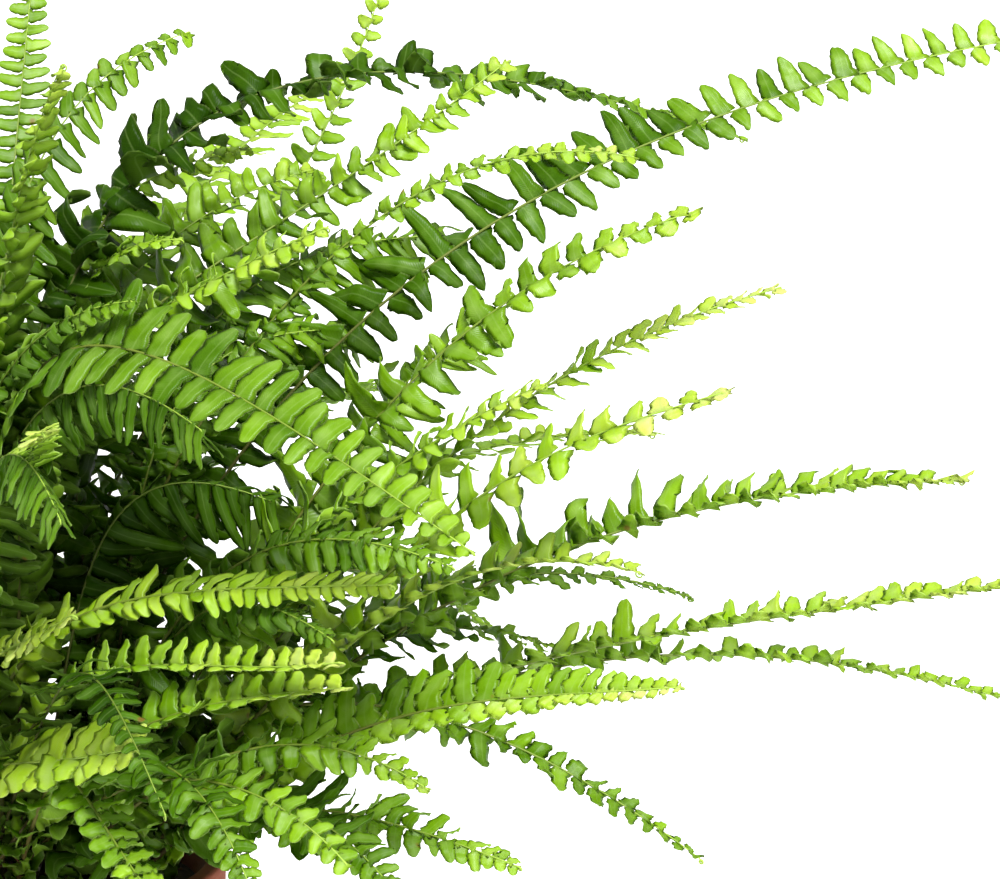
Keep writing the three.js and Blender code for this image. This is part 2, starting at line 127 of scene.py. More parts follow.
# Fronds that the picture shows: tip x, y, z; launch and tip pitch; launch and tip handles; roll; half
# width of the blade; age.
SHOWN = [
    (480, 60, 554, 74, 9, 0.48, 0.36, 46, 27, "mature"),
    (341, 127, 498, 89, -19, 0.66, 0.64, 14, 24, "mature"),
    (158, -100, 488, 88, 24, 0.55, 0.60, 36, 24, "young"),
    (234, 60, 540, 88, 36, 0.68, 0.60, 50, 24, "young"),
    (178, 190, 566, 83, 66, 0.42, 0.36, 60, 20, "young"),
    (18, 170, 584, 84, 60, 0.42, 0.36, 0, 22, "young"),
    (92, 90, 550, 87, 10, 0.50, 0.36, 40, 24, "young"),
    (47, -60, 551, 86, 55, 0.42, 0.36, 20, 22, "young"),
    (287, -38, 510, 78, -10, 0.38, 0.33, 38, 18, "young"),
    (220, -240, 379, 88, -20, 0.78, 0.75, 40, 28, "mature"),
    (312, -43, 487, 61, 19, 0.48, 0.32, 40, 29, "mature"),
    (350, -20, 451, 56, 16, 0.42, 0.36, 26, 25, "young"),
    (248, -110, 424, 60, 26, 0.42, 0.36, 30, 24, "young"),
    (324, -83, 416, 50, 18, 0.61, 0.34, 36, 26, "young"),
    (431, -10, 365, 52, 1, 0.42, 0.34, 16, 26, "mature"),
    (317, 80, 295, 58, -22, 0.42, 0.36, 8, 24, "mature"),
    (290, -60, 335, 54, -12, 0.42, 0.36, 20, 22, "young"),
    (479, -30, 327, 47, 9, 0.34, 0.50, 16, 25, "mature"),
    (481, 40, 250, 42, -18, 0.42, 0.36, 10, 25, "mature"),
    (306, -124, 299, 45, 9, 0.53, 0.34, 44, 28, "mature"),
    (167, -184, 312, 52, 11, 0.47, 0.45, 62, 23, "young"),
    (166, -200, 326, 73, 14, 0.56, 0.43, 62, 23, "young"),
    (318, -50, 206, 64, -36, 0.50, 0.45, 24, 26, "mature"),
    (186, -167, 351, 82, 8, 0.50, 0.59, 40, 26, "young"),
    (58, -184, 342, 67, 24, 0.65, 0.50, 50, 24, "young"),
    (84, -214, 294, 75, 17, 0.35, 0.64, 50, 29, "young"),
    (96, -244, 238, 55, -9, 0.71, 0.59, 12, 25, "mature"),
    (239, -120, 221, 50, -14, 0.42, 0.36, 30, 26, "mature"),
    (49, -204, 421, 83, 16, 0.67, 0.64, 20, 22, "young"),
    (200, -140, 260, 54, -26, 0.42, 0.36, 38, 26, "mature"),
    (168, -190, 241, 56, -34, 0.42, 0.36, 38, 25, "young"),
    (211, -130, 351, 66, -14, 0.50, 0.45, 40, 27, "mature"),
]

# Rings of fronds on the sides that the picture hides: count, first and last azimuth, reach, height,
# launch and tip pitch, launch and tip handles, half width of the blade.
RINGS = [
    (4, 112, 255, 150, 560, 84, 50, 0.44, 0.36, 24),
    (6, 58, 262, 290, 486, 77, 8, 0.50, 0.40, 27),
    (8, 34, 266, 400, 372, 62, -8, 0.44, 0.40, 29),
    (8, 50, 258, 385, 236, 54, -32, 0.46, 0.40, 28),
]

# Shorter fronds that leave another frond's petiole just above the soil, in rows like those of SHOWN.
FORKED = [
    (99, -250, 276, 50, -33, 0.75, 0.48, 6, 26, "young"),
    (132, -210, 231, 58, -46, 0.46, 0.40, 18, 26, "mature"),
    (190, -150, 215, 52, -36, 0.44, 0.40, 34, 26, "mature"),
    (145, -60, 220, 50, -30, 0.45, 0.40, 24, 24, "mature"),
    (132, -40, 362, 72, -20, 0.50, 0.50, 40, 26, "mature"),
    (165, 30, 425, 76, -5, 0.50, 0.45, 40, 27, "mature"),
    (204, 50, 464, 78, 0, 0.50, 0.45, 34, 27, "mature"),
    (109, -150, 412, 78, -20, 0.50, 0.50, 20, 26, "mature"),
    (77, -90, 456, 82, 10, 0.45, 0.40, 30, 25, "mature"),
    (57, -220, 388, 76, -34, 0.50, 0.45, 6, 26, "mature"),
    (144, 130, 483, 80, 10, 0.50, 0.40, 34, 26, "young"),
    (220, 20, 427, 55, 30, 0.65, 0.30, 24, 27, "mature"),
    (258, 90, 269, 52, -24, 0.44, 0.40, 14, 26, "mature"),
    (162, -160, 327, 66, -16, 0.50, 0.45, 44, 25, "mature"),
    (84, -120, 207, 56, -40, 0.50, 0.40, 24, 25, "mature"),
    (120, 60, 501, 84, 8, 0.50, 0.40, 40, 26, "mature"),
    (94, -20, 472, 84, 4, 0.50, 0.40, 30, 26, "mature"),
]

# A solid's tip may stand this far aside and up from its row's, where the fronds had to pass one another.
TIP_MOVES = [(0, 0), (0, 12), (0, -12), (14, 0), (-14, 0), (0, 24), (0, -24), (24, 12), (-24, 12)]

# A frond's habit. The leaflets' spacing in millimetres, and the share by which it closes to the tip.
# The width: half width of a leaflet as a share of the spacing. In degrees: forward sweep, its shear
# between the two sides, lift, twist, and the lean of both sides' blades one way. The wave in a
# leaflet's middle line, and how loose all of it is. The frill: height of the ruffles in the margin as a
# share of the half width. The point: how far leaflets narrow to the end. The near side's length, how
# far it folds up in degrees, and how much brighter it is. The tip: share of the blade's width that is
# left there. The hook: how far the leaflets bend forward. The skew: slant of a leaflet's end. The size:
# length of all leaflets. How much wilder they grow near the petiole, and where along the blade they are
# tame. A stretch of long ones: from, to and how long. The tone, from 0 for the darkest green to 1 for
# the yellowest, with its value at the blade's end.
# The near side's brightness is painted light: a lighter green on that row alone, for the light it catches.
COMMON_HABIT = dict(sweep=12, shear=0, lift=7, hook=0.10, width=0.53, near=1.0, skew=0.3, loose=1.3,
                    fold=0, bright=0, size=1.0, wild=1.2, tame=0.45, lean=0, long=(0, 0, 1))
AGE_HABITS = {
    "young": dict(twist=16, wave=0.3, tone=0.54, end=0.88, point=0.25, tip=0.22, close=0.4, frill=0.11),
    "mature": dict(twist=30, wave=0.6, tone=0.20, end=0.7, point=0.2, tip=0.14, close=0.52, frill=0.18),
}

# How single fronds differ from their age, by number.
HABITS = {
    1: dict(sweep=2, shear=-16, hook=-0.16, twist=16, wave=0.42, tone=0.20, end=0.76, near=0.68,
            tip=0.42, point=0.30, spacing=12.0, close=0.12, loose=0.8, width=0.46, skew=0.6, wild=1.3,
            tame=0.7, size=0.98, frill=0.14, long=(0.15, 0.6, 1.2)),
    2: dict(sweep=0, twist=32, wave=0.8, tone=0.0, end=0.6, point=0.1, loose=1.3, close=0.4,
            spacing=11.5, size=1.2, width=0.6, frill=0.16, long=(0.25, 0.5, 1.3)),
    3: dict(tone=0.42, end=0.8, twist=30, wave=0.6, loose=1.8, spacing=11.0, size=1.2,
            long=(0.0, 0.6, 1.35)),
    4: dict(tone=0.30, end=0.78, twist=34, wave=0.6, loose=1.8, size=1.05, tip=0.3,
            long=(0.0, 0.65, 1.5)),
    5: dict(tone=0.36, end=0.82, spacing=12.5, width=0.40, point=0.45, size=0.95, twist=30, wave=0.5,
            loose=1.6, long=(0.0, 0.6, 1.4)),
    6: dict(sweep=-4, twist=6, wave=0.08, tone=0.34, end=0.6, spacing=8.4, loose=0.5, close=0.2,
            width=0.48, wild=0.3, point=0.3),
    7: dict(tone=0.20, end=0.5, size=0.95, near=1.35, wave=0.4, point=0.4, sweep=0, shear=38, close=0.25,
            lift=-6, width=0.46, hook=0.12, twist=36, loose=0.9),
    8: dict(tone=0.44, end=0.84, size=1.2, twist=32, lean=-10, loose=1.6, wave=0.6, lift=-12,
            spacing=9.6, point=0.35),
    9: dict(tone=0.32, end=0.86, point=0.3, wave=0.6, spacing=7.8, tip=0.4, close=0.1, size=0.64,
            sweep=4, loose=1.6, twist=28, wild=1.8),
    10: dict(sweep=-12, twist=0, wave=0.07, tone=0.34, end=0.62, spacing=16.0, loose=0.5, point=-0.10,
             hook=0.04, width=0.48, close=0.42, wild=0.3, skew=0.1, near=0.78, frill=0.08, size=1.12),
    11: dict(sweep=4, twist=24, wave=0.6, tone=0.36, end=0.78, spacing=12.5, loose=1.4, tip=0.14,
             point=0.5, close=0.05, width=0.5, size=1.15, long=(0.1, 0.5, 1.3)),
    12: dict(tone=0.62, end=0.98, point=0.2, wave=0.3, spacing=10.0, tip=0.3, close=0.3, loose=1.2,
             size=0.8, sweep=36, twist=48, long=(0.1, 0.5, 1.5)),
    13: dict(tone=0.46, end=0.8, twist=30, spacing=10.5, loose=1.8, size=1.15, long=(0.0, 0.6, 1.35)),
    14: dict(sweep=2, twist=20, wave=0.35, tone=0.64, end=0.92, spacing=14.5, point=0.45, loose=1.5,
             width=0.5, tip=0.08, close=0.12, size=1.3, near=0.75),
    15: dict(tone=0.46, end=0.88, wave=0.5, twist=35, near=0.4, fold=40, loose=1.6, point=0.2, close=0.4,
             size=1.5, sweep=4, tip=0.3, width=0.6),
    16: dict(sweep=10, twist=10, wave=0.20, tone=0.34, end=0.44, size=0.85),
    17: dict(tone=0.80, near=0.4, fold=40, size=1.3, sweep=2, wild=0.4),
    18: dict(tone=0.68, end=0.92, near=0.55, fold=35, point=0.35, wave=0.3, loose=1.2, sweep=0,
             spacing=10.5, close=0.3, size=0.95, wild=0.5, width=0.6, tip=0.3),
    19: dict(tone=0.58, end=0.8, near=0.6, fold=20, point=0.2, size=1.0, sweep=2, wild=0.5),
    20: dict(sweep=14, shear=-20, tone=0.42, twist=6, wave=0.12, point=0.0, width=0.68, loose=0.8,
             near=0.55, size=0.90, spacing=11.0, bright=0.18, end=0.78),
    21: dict(sweep=2, tone=0.40, end=0.88, twist=8, wave=0.15, point=0.3, near=0.45, fold=50, width=0.56,
             close=0.3, tip=0.3, spacing=14.0, loose=0.9, size=0.76),
    22: dict(sweep=2, tone=0.60, end=0.9, twist=10, wave=0.2, point=0.4, near=0.45, fold=50, width=0.54,
             close=0.3, tip=0.4, spacing=13.0, loose=1.0, size=0.62),
    23: dict(tone=0.34, end=0.5, sweep=2, size=0.8, close=0.3, spacing=11.0, tip=0.05, twist=38),
    24: dict(sweep=34, tone=0.68, end=0.80, twist=14, lean=-12, wave=0.35, point=0.25, size=0.66,
             tip=0.45, close=0.35, spacing=8.8, width=0.48, loose=1.1),
    25: dict(sweep=10, tone=0.80, twist=10, wave=0.4, size=0.6, spacing=12.0, tip=0.4, close=0.3),
    26: dict(sweep=-6, twist=8, lean=-16, wave=0.5, tone=0.74, end=0.84, spacing=17.0, point=0.2,
             tip=0.6, close=0.25, near=0.7, fold=-5, width=0.6, size=0.72, loose=0.7, wild=0.3),
    27: dict(tone=0.44, end=0.66, sweep=10, point=0.35, tip=0.5, close=0.3, loose=1.0, size=0.6,
             spacing=13.5, width=0.5),
    28: dict(size=0.95, tone=0.26),
    29: dict(tone=0.40, end=0.95, size=0.85, close=0.3, tip=0.4),
    30: dict(tone=0.30, end=0.66, size=0.9, point=0.35, spacing=13.0),
    31: dict(tone=0.38, end=0.62, wave=0.3, close=0.3, tip=0.4, size=0.68, spacing=11.5, width=0.5),
    32: dict(tone=0.20, end=0.5, size=1.1, lift=-10),
    59: dict(tone=0.04, end=0.2, size=0.74, width=0.36, point=0.3, hook=0.16, twist=10, wave=0.3,
             tip=0.1),
    60: dict(tone=0.16, end=0.5, size=1.0),
    61: dict(tone=0.14, end=0.5, size=1.05),
    63: dict(tone=0.10, end=0.24, lift=-45, sweep=0, twist=14, size=1.3, tip=0.8, width=0.48, loose=0.9),
    64: dict(tone=0.22, end=0.5, size=1.15, lift=-25, wave=1.0, tip=0.7, spacing=9.5, frill=0.25),
    65: dict(tone=0.20, end=0.5, size=1.2, lift=-30, wave=0.9, tip=0.7, spacing=9.5, frill=0.25),
    66: dict(tone=0.10, end=0.3, lift=-55, sweep=0, twist=14, wave=0.3, width=0.46, size=1.25, loose=0.9,
             tip=0.5),
    67: dict(tone=0.16, end=0.4, lift=-35),
    68: dict(tone=0.12, end=0.4, lift=-50, sweep=0, twist=14, wave=0.3, width=0.46, size=1.25, loose=0.9,
             tip=0.4),
    69: dict(tone=0.32, end=0.72, size=1.35, twist=34, wave=0.6, loose=1.8),
    70: dict(tone=0.26, end=0.6, wave=0.9, loose=1.6, sweep=-8, lift=-15, size=1.45, width=0.46,
             point=0.3, tip=0.6, frill=0.25),
    72: dict(tone=0.14, end=0.4, lift=-30),
    73: dict(tone=0.12, end=0.4),
    74: dict(tone=0.44, end=0.66, twist=44, lift=-10, loose=1.7),
}


class FernSizes(bpy.types.PropertyGroup):
    """Sizes of the fern that a user would change."""

    leaflet_spacing: FloatProperty(
        name="Leaflet spacing", description="Distance between leaflets on one side of a rib",
        default=0.0112, min=0.007, max=0.016, precision=4, unit="LENGTH")
    leaflet_thickness: FloatProperty(
        name="Leaflet thickness", description="Thickness of a leaflet",
        default=0.00045, min=0.0002, max=0.001, precision=5, unit="LENGTH")
    rib_radius: FloatProperty(
        name="Petiole radius", description="Radius of a petiole where it leaves the soil",
        default=0.0013, min=0.0008, max=0.003, precision=4, unit="LENGTH")
    scale_count: IntProperty(
        name="Petiole scales", description="Papery scales at the foot of each petiole",
        default=26, min=0, max=80)
    grain_count: IntProperty(
        name="Soil grains", description="Loose grains that lie on the potting mix",
        default=420, min=0, max=1500)


class FernLight(bpy.types.PropertyGroup):
    """Light and floor of the studio."""

    key_power: FloatProperty(
        name="Key light", description="Strength of the far light above the front, in watts a square metre",
        default=6.1, min=0.0)
    key_bearing: FloatProperty(
        name="Key bearing", description="Bearing of the key light from the pot, counted from +X",
        default=math.radians(-86), subtype="ANGLE")
    key_rise: FloatProperty(
        name="Key height", description="Angle of the key light above the level", default=math.radians(56),
        min=0.0, max=math.radians(90), subtype="ANGLE")
    key_softness: FloatProperty(
        name="Key softness", description="Angle that the key light fills, seen from the fern",
        default=math.radians(22), min=0.0, max=math.radians(90), subtype="ANGLE")
    sky: FloatProperty(
        name="Sky", description="Strength of the even white light all round", default=0.5, min=0.0)
    floor_colour: FloatVectorProperty(
        name="Floor", description="Colour of the floor",
        default=(0.95, 0.95, 0.95), size=3, subtype="COLOR")


def linear(code):
    """An sRGB hex colour such as #4C8A26 as linear red, green, blue and alpha: a straight run for the
    darkest values, and above it the power 2.4."""
    parts = np.array([int(code[i:i + 2], 16) for i in (1, 3, 5)]) / 255
    low = parts / 12.92
    high = ((parts + 0.055) / 1.055) ** 2.4
    return (*np.where(parts <= 0.04045, low, high), 1.0)


def vary(i, k):
    """A repeatable number between -0.5 and 0.5 for item i and purpose k: what follows the point in a
    large multiple of a sine, less a half."""
    x = math.sin(i * 12.9898 + k * 78.233) * 43758.5453
    return x - math.floor(x) - 0.5


def heading(azimuth, pitch):
    """Unit vector at an azimuth from +X and a pitch above the level, in degrees."""
    a, p = math.radians(azimuth), math.radians(pitch)
    return np.array([math.cos(p) * math.cos(a), math.cos(p) * math.sin(a), math.sin(p)])


def unit(vectors):
    """Vectors divided by their lengths."""
    return vectors / np.linalg.norm(vectors, axis=-1, keepdims=True)


def named_row(values):
    """A row of SHOWN or FORKED with its values named."""
    names = ("launch", "drop", "k1", "k2", "roll", "width", "age")
    return {"tip": np.array(values[:3], float), **dict(zip(names, values[3:]))}


def standing_rows():
    """Rows of the fronds that stand in the soil: those of the picture, then those of the rings, spread
    evenly from the first azimuth to the last and each varied a little."""
    rows = [named_row(values) for values in SHOWN]
    for count, first, last, reach, height, launch, drop, k1, k2, width in RINGS:
        for j in range(count):
            i = len(rows)
            azimuth = math.radians(first + (last - first) * j / (count - 1) + vary(i, 1) * 10)
            r = reach + vary(i, 2) * 70
            rows.append({
                "tip": np.array([r * math.cos(azimuth), r * math.sin(azimuth), height + vary(i, 3) * 60]),
                "launch": launch,
                "drop": drop + vary(i, 4) * 14,
                "k1": k1,
                "k2": k2,
                "roll": vary(i, 5) * 24,
                "width": width,
                "age": "young" if vary(i, 6) > 0.15 else "mature",
            })
    return rows


class FrondLine:
    """Line of a frond: the cubic whose handles leave the root at the launch pitch and reach the tip at
    the tip pitch, both in the upright plane through root and tip, walked by length."""

    def __init__(self, row, tip, root):
        chord = tip - root
        azimuth = math.degrees(math.atan2(chord[1], chord[0]))
        size = np.linalg.norm(chord)
        near = root + heading(azimuth, row["launch"]) * row["k1"] * size
        far = tip - heading(azimuth, row["drop"]) * row["k2"] * size
        self.corners = np.array([root, near, far, tip])
        self.shares = np.linspace(0, 1, LINE_POINTS)
        points = self.at(self.shares)
        steps = np.linalg.norm(np.diff(points, axis=0), axis=1)
        self.lengths = np.concatenate([[0], np.cumsum(steps)])
        self.length = self.lengths[-1]

    def at(self, t):
        """Points of the cubic at shares t."""
        q = 1 - t
        return np.stack([q ** 3, 3 * q * q * t, 3 * q * t * t, t ** 3], -1) @ self.corners

    def slope(self, t):
        """Unit tangents of the cubic at shares t."""
        q = 1 - t
        sides = np.diff(self.corners, axis=0)
        return unit(np.stack([q * q, 2 * q * t, t * t], -1) @ sides)

    def stations(self, s, roll):
        """Points, tangents, sides and normals at lengths s from the root. Below the root the petiole
        runs straight on. The side is level and square to the tangent, then turned about it by the
        roll."""
        t = np.interp(s, self.lengths, self.shares)
        tangent = self.slope(t)
        point = self.at(t) + tangent * np.minimum(s, 0)[:, None]
        level = unit(np.cross(UP, tangent))
        rise = np.cross(tangent, level)
        turn = np.radians(roll)[:, None]
        side = np.cos(turn) * level + np.sin(turn) * rise
        return point, tangent, side, np.cross(tangent, side)


def node_points(name):
    """Vertices of a solid of the frame, in millimetres."""
    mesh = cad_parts[name].data
    values = np.empty(len(mesh.vertices) * 3)
    mesh.vertices.foreach_get("co", values)
    return values.reshape(-1, 3) / MM


def nearest_tip(row, points):
    """Distance from a solid's vertices to the nearest tip that its frond may have, and that tip: the
    row's own, or one moved a little across its bearing or up."""
    bearing = math.atan2(row["tip"][1], row["tip"][0])
    across = np.array([-math.sin(bearing), math.cos(bearing), 0])
    tips = [row["tip"] + across * aside + UP * rise for aside, rise in TIP_MOVES]
    distance, i = min((np.linalg.norm(points - tip, axis=1).min(), i) for i, tip in enumerate(tips))
    return distance, tips[i]


def standing_line(row, points):
    """Line of a frond with its foot in the soil. The root lies FOOT_DEPTH up the launch direction from
    the middle of the solid's lowest face, and the direction follows from root and tip, so a few rounds
    settle it."""
    distance, tip = nearest_tip(row, points)
    if distance > TIP_TOLERANCE:
        raise RuntimeError("a frond's solid has no tip where its row puts it")
    low = points[points[:, 2] < points[:, 2].min() + LOW_FACE_REACH]
    foot = np.unique(low.round(2), axis=0).mean(0)
    root = foot
    for _ in range(4):
        chord = tip - root
        azimuth = math.degrees(math.atan2(chord[1], chord[0]))
        root = foot + heading(azimuth, row["launch"]) * FOOT_DEPTH
    return FrondLine(row, tip, root)


def frond_lines():
    """For each standing frond, a list of row, line and number: its own, then that of the fork it
    carries. A fork belongs to the solid that has its tip, and starts FORK_HEIGHT up that frond's
    line."""
    rows = standing_rows()
    clouds = [node_points(f"frond_{i + 1:02d}") for i in range(STANDING_COUNT)]
    plants = [[(row, standing_line(row, points), i + 1)]
              for i, (row, points) in enumerate(zip(rows, clouds))]
    for k, values in enumerate(FORKED):
        row = named_row(values)
        distance, i = min((nearest_tip(row, points)[0], i) for i, points in enumerate(clouds))
        if distance > TIP_TOLERANCE:
            raise RuntimeError("a forked frond's tip is on no solid")
        tip = nearest_tip(row, clouds[i])[1]
        host = plants[i][0][1]
        start = host.stations(np.array([FORK_HEIGHT]), np.zeros(1))[0][0]
        plants[i].append((row, FrondLine(row, tip, start), STANDING_COUNT + 1 + k))
    return plants


class Skin:
    """Vertices, faces and per-vertex values of one mesh, gathered from several surfaces."""

    def __init__(self):
        self.points, self.leaf, self.place = [], [], []
        self.quads, self.triangles = [], []
        self.count = 0

    def add(self, points, quads, triangles, leaf=None, place=None, slot=0):
        """Adds a surface; quads and triangles count its own vertices from 0. The slot is one number, or
        an array for the quads and one for the triangles. Without leaf and place values these are 0."""
        points = points.reshape(-1, 3)
        self.points.append(points)
        self.leaf.append(np.zeros(points.shape) if leaf is None else leaf.reshape(-1, 3))
        self.place.append(np.zeros(points.shape) if place is None else place.reshape(-1, 3))
        slots = slot if isinstance(slot, tuple) else (slot, slot)
        for group, faces, each in ((self.quads, quads, slots[0]), (self.triangles, triangles, slots[1])):
            if len(faces):
                group.append((faces + self.count, np.broadcast_to(each, len(faces))))
        self.count += len(self.points[-1])

    def object(self, name, materials):
        """The gathered surfaces as one smooth mesh object, in metres."""
        points = np.concatenate(self.points) * MM
        loops, sizes, slots = [], [], []
        for group in (self.quads, self.triangles):
            for faces, slot in group:
                loops.append(faces.ravel())
                sizes.append(np.full(len(faces), faces.shape[1]))
                slots.append(slot)
        loops, sizes, slots = np.concatenate(loops), np.concatenate(sizes), np.concatenate(slots)
        mesh = bpy.data.meshes.new(name)
        mesh.vertices.add(len(points))
        mesh.vertices.foreach_set("co", points.ravel())
        mesh.loops.add(len(loops))
        mesh.loops.foreach_set("vertex_index", loops.astype(np.int32))
        mesh.polygons.add(len(sizes))
        starts = np.concatenate([[0], np.cumsum(sizes)[:-1]])
        mesh.polygons.foreach_set("loop_start", starts.astype(np.int32))
        mesh.polygons.foreach_set("material_index", slots.astype(np.int32))
        mesh.polygons.foreach_set("use_smooth", np.ones(len(sizes), bool))
        for name_, values in (("leaf", self.leaf), ("place", self.place)):
            layer = mesh.attributes.new(name_, "FLOAT_VECTOR", "POINT")
            layer.data.foreach_set("vector", np.concatenate(values).ravel())
        mesh.update(calc_edges=True)
        for material in materials:
            mesh.materials.append(material)
        made = bpy.data.objects.new(name, mesh)
        bpy.context.collection.objects.link(made)
        return made


def dress(piece, nodes):
    """Hangs a piece on the root body, in place of its solids."""
    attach(piece, "root")
    if nodes:
        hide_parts(*nodes)


def tube_faces(rings, sides):
    """Quads between the rings of a tube, each joining two neighbours of one ring to those of the next,
    and the triangles of its two pointed ends, whose vertices come last."""
    j, i = np.meshgrid(np.arange(rings - 1), np.arange(sides), indexing="ij")
    a, b = j * sides + i, j * sides + (i + 1) % sides
    quads = np.stack([a, b, b + sides, a + sides], -1).reshape(-1, 4)
    i = np.arange(sides)
    follow = (i + 1) % sides
    first = np.stack([follow, i, np.full(sides, rings * sides)], -1)
    top = (rings - 1) * sides
    last = np.stack([top + i, top + follow, np.full(sides, rings * sides + 1)], -1)
    return quads, np.concatenate([first, last])


def repeated(faces, count, size):
    """Faces of like shells that follow one another, each of so many vertices: the first's, moved on by
    that many for each."""
    return (faces[None] + (np.arange(count) * size)[:, None, None]).reshape(-1, faces.shape[1])


def closed_skin(rings, low, high):
    """A skin through an array of rings, closed by a fan to a point on the axis at a low and a high
    level."""
    quads, triangles = tube_faces(*rings.shape[:2])
    skin = Skin()
    skin.add(np.concatenate([rings.reshape(-1, 3), [UP * low, UP * high]]), quads, triangles)
    return skin


def tube(skin, path, side, normal, radius, sides, leaf, place, slot):
    """A closed tube: rings of the given radius about a path, in the plane of side and normal, with a
    point at each end."""
    turn = np.arange(sides) * 2 * math.pi / sides
    ring = np.cos(turn)[None, :, None] * side[:, None] + np.sin(turn)[None, :, None] * normal[:, None]
    points = path[:, None] + ring * radius[:, None, None]
    count = len(path)
    pick = np.concatenate([np.repeat(np.arange(count), sides), [0, count - 1]])
    quads, triangles = tube_faces(count, sides)
    skin.add(np.concatenate([points.reshape(-1, 3), path[[0, -1]]]), quads, triangles, leaf[pick],
             place[pick], slot)


# Stations along a leaflet, without its two end points, and the ring of six points at each: forward edge,
# three on top, rear edge and one below.
LEAFLET_STATIONS = np.array([0.012, 0.06, 0.14, 0.24, 0.36, 0.48, 0.60, 0.72, 0.83, 0.92, 0.98])
RING_ACROSS = np.array([1, 0.5, 0, -0.5, -1, 0])
RING_SWELL = np.array([0, 1, 0, 1, 0, 0])
RING_BELOW = np.array([0, 0, 0, 0, 0, 1.0])
FIRST_BELOW = 4

# Form of a leaflet: the ear's height, place and length along the forward edge; the depth of the
# scallops, the swelling of the blade beside its midrib and the extra thickness below it, as shares of
# the half width; and the run of the ruffles along it, in radians.
EAR, EAR_PLACE, EAR_LENGTH = 0.36, 0.06, 0.09
SCALLOP = 0.05
SWELLING = 0.07
KEEL = 0.03
RUFFLE_RUN = 15


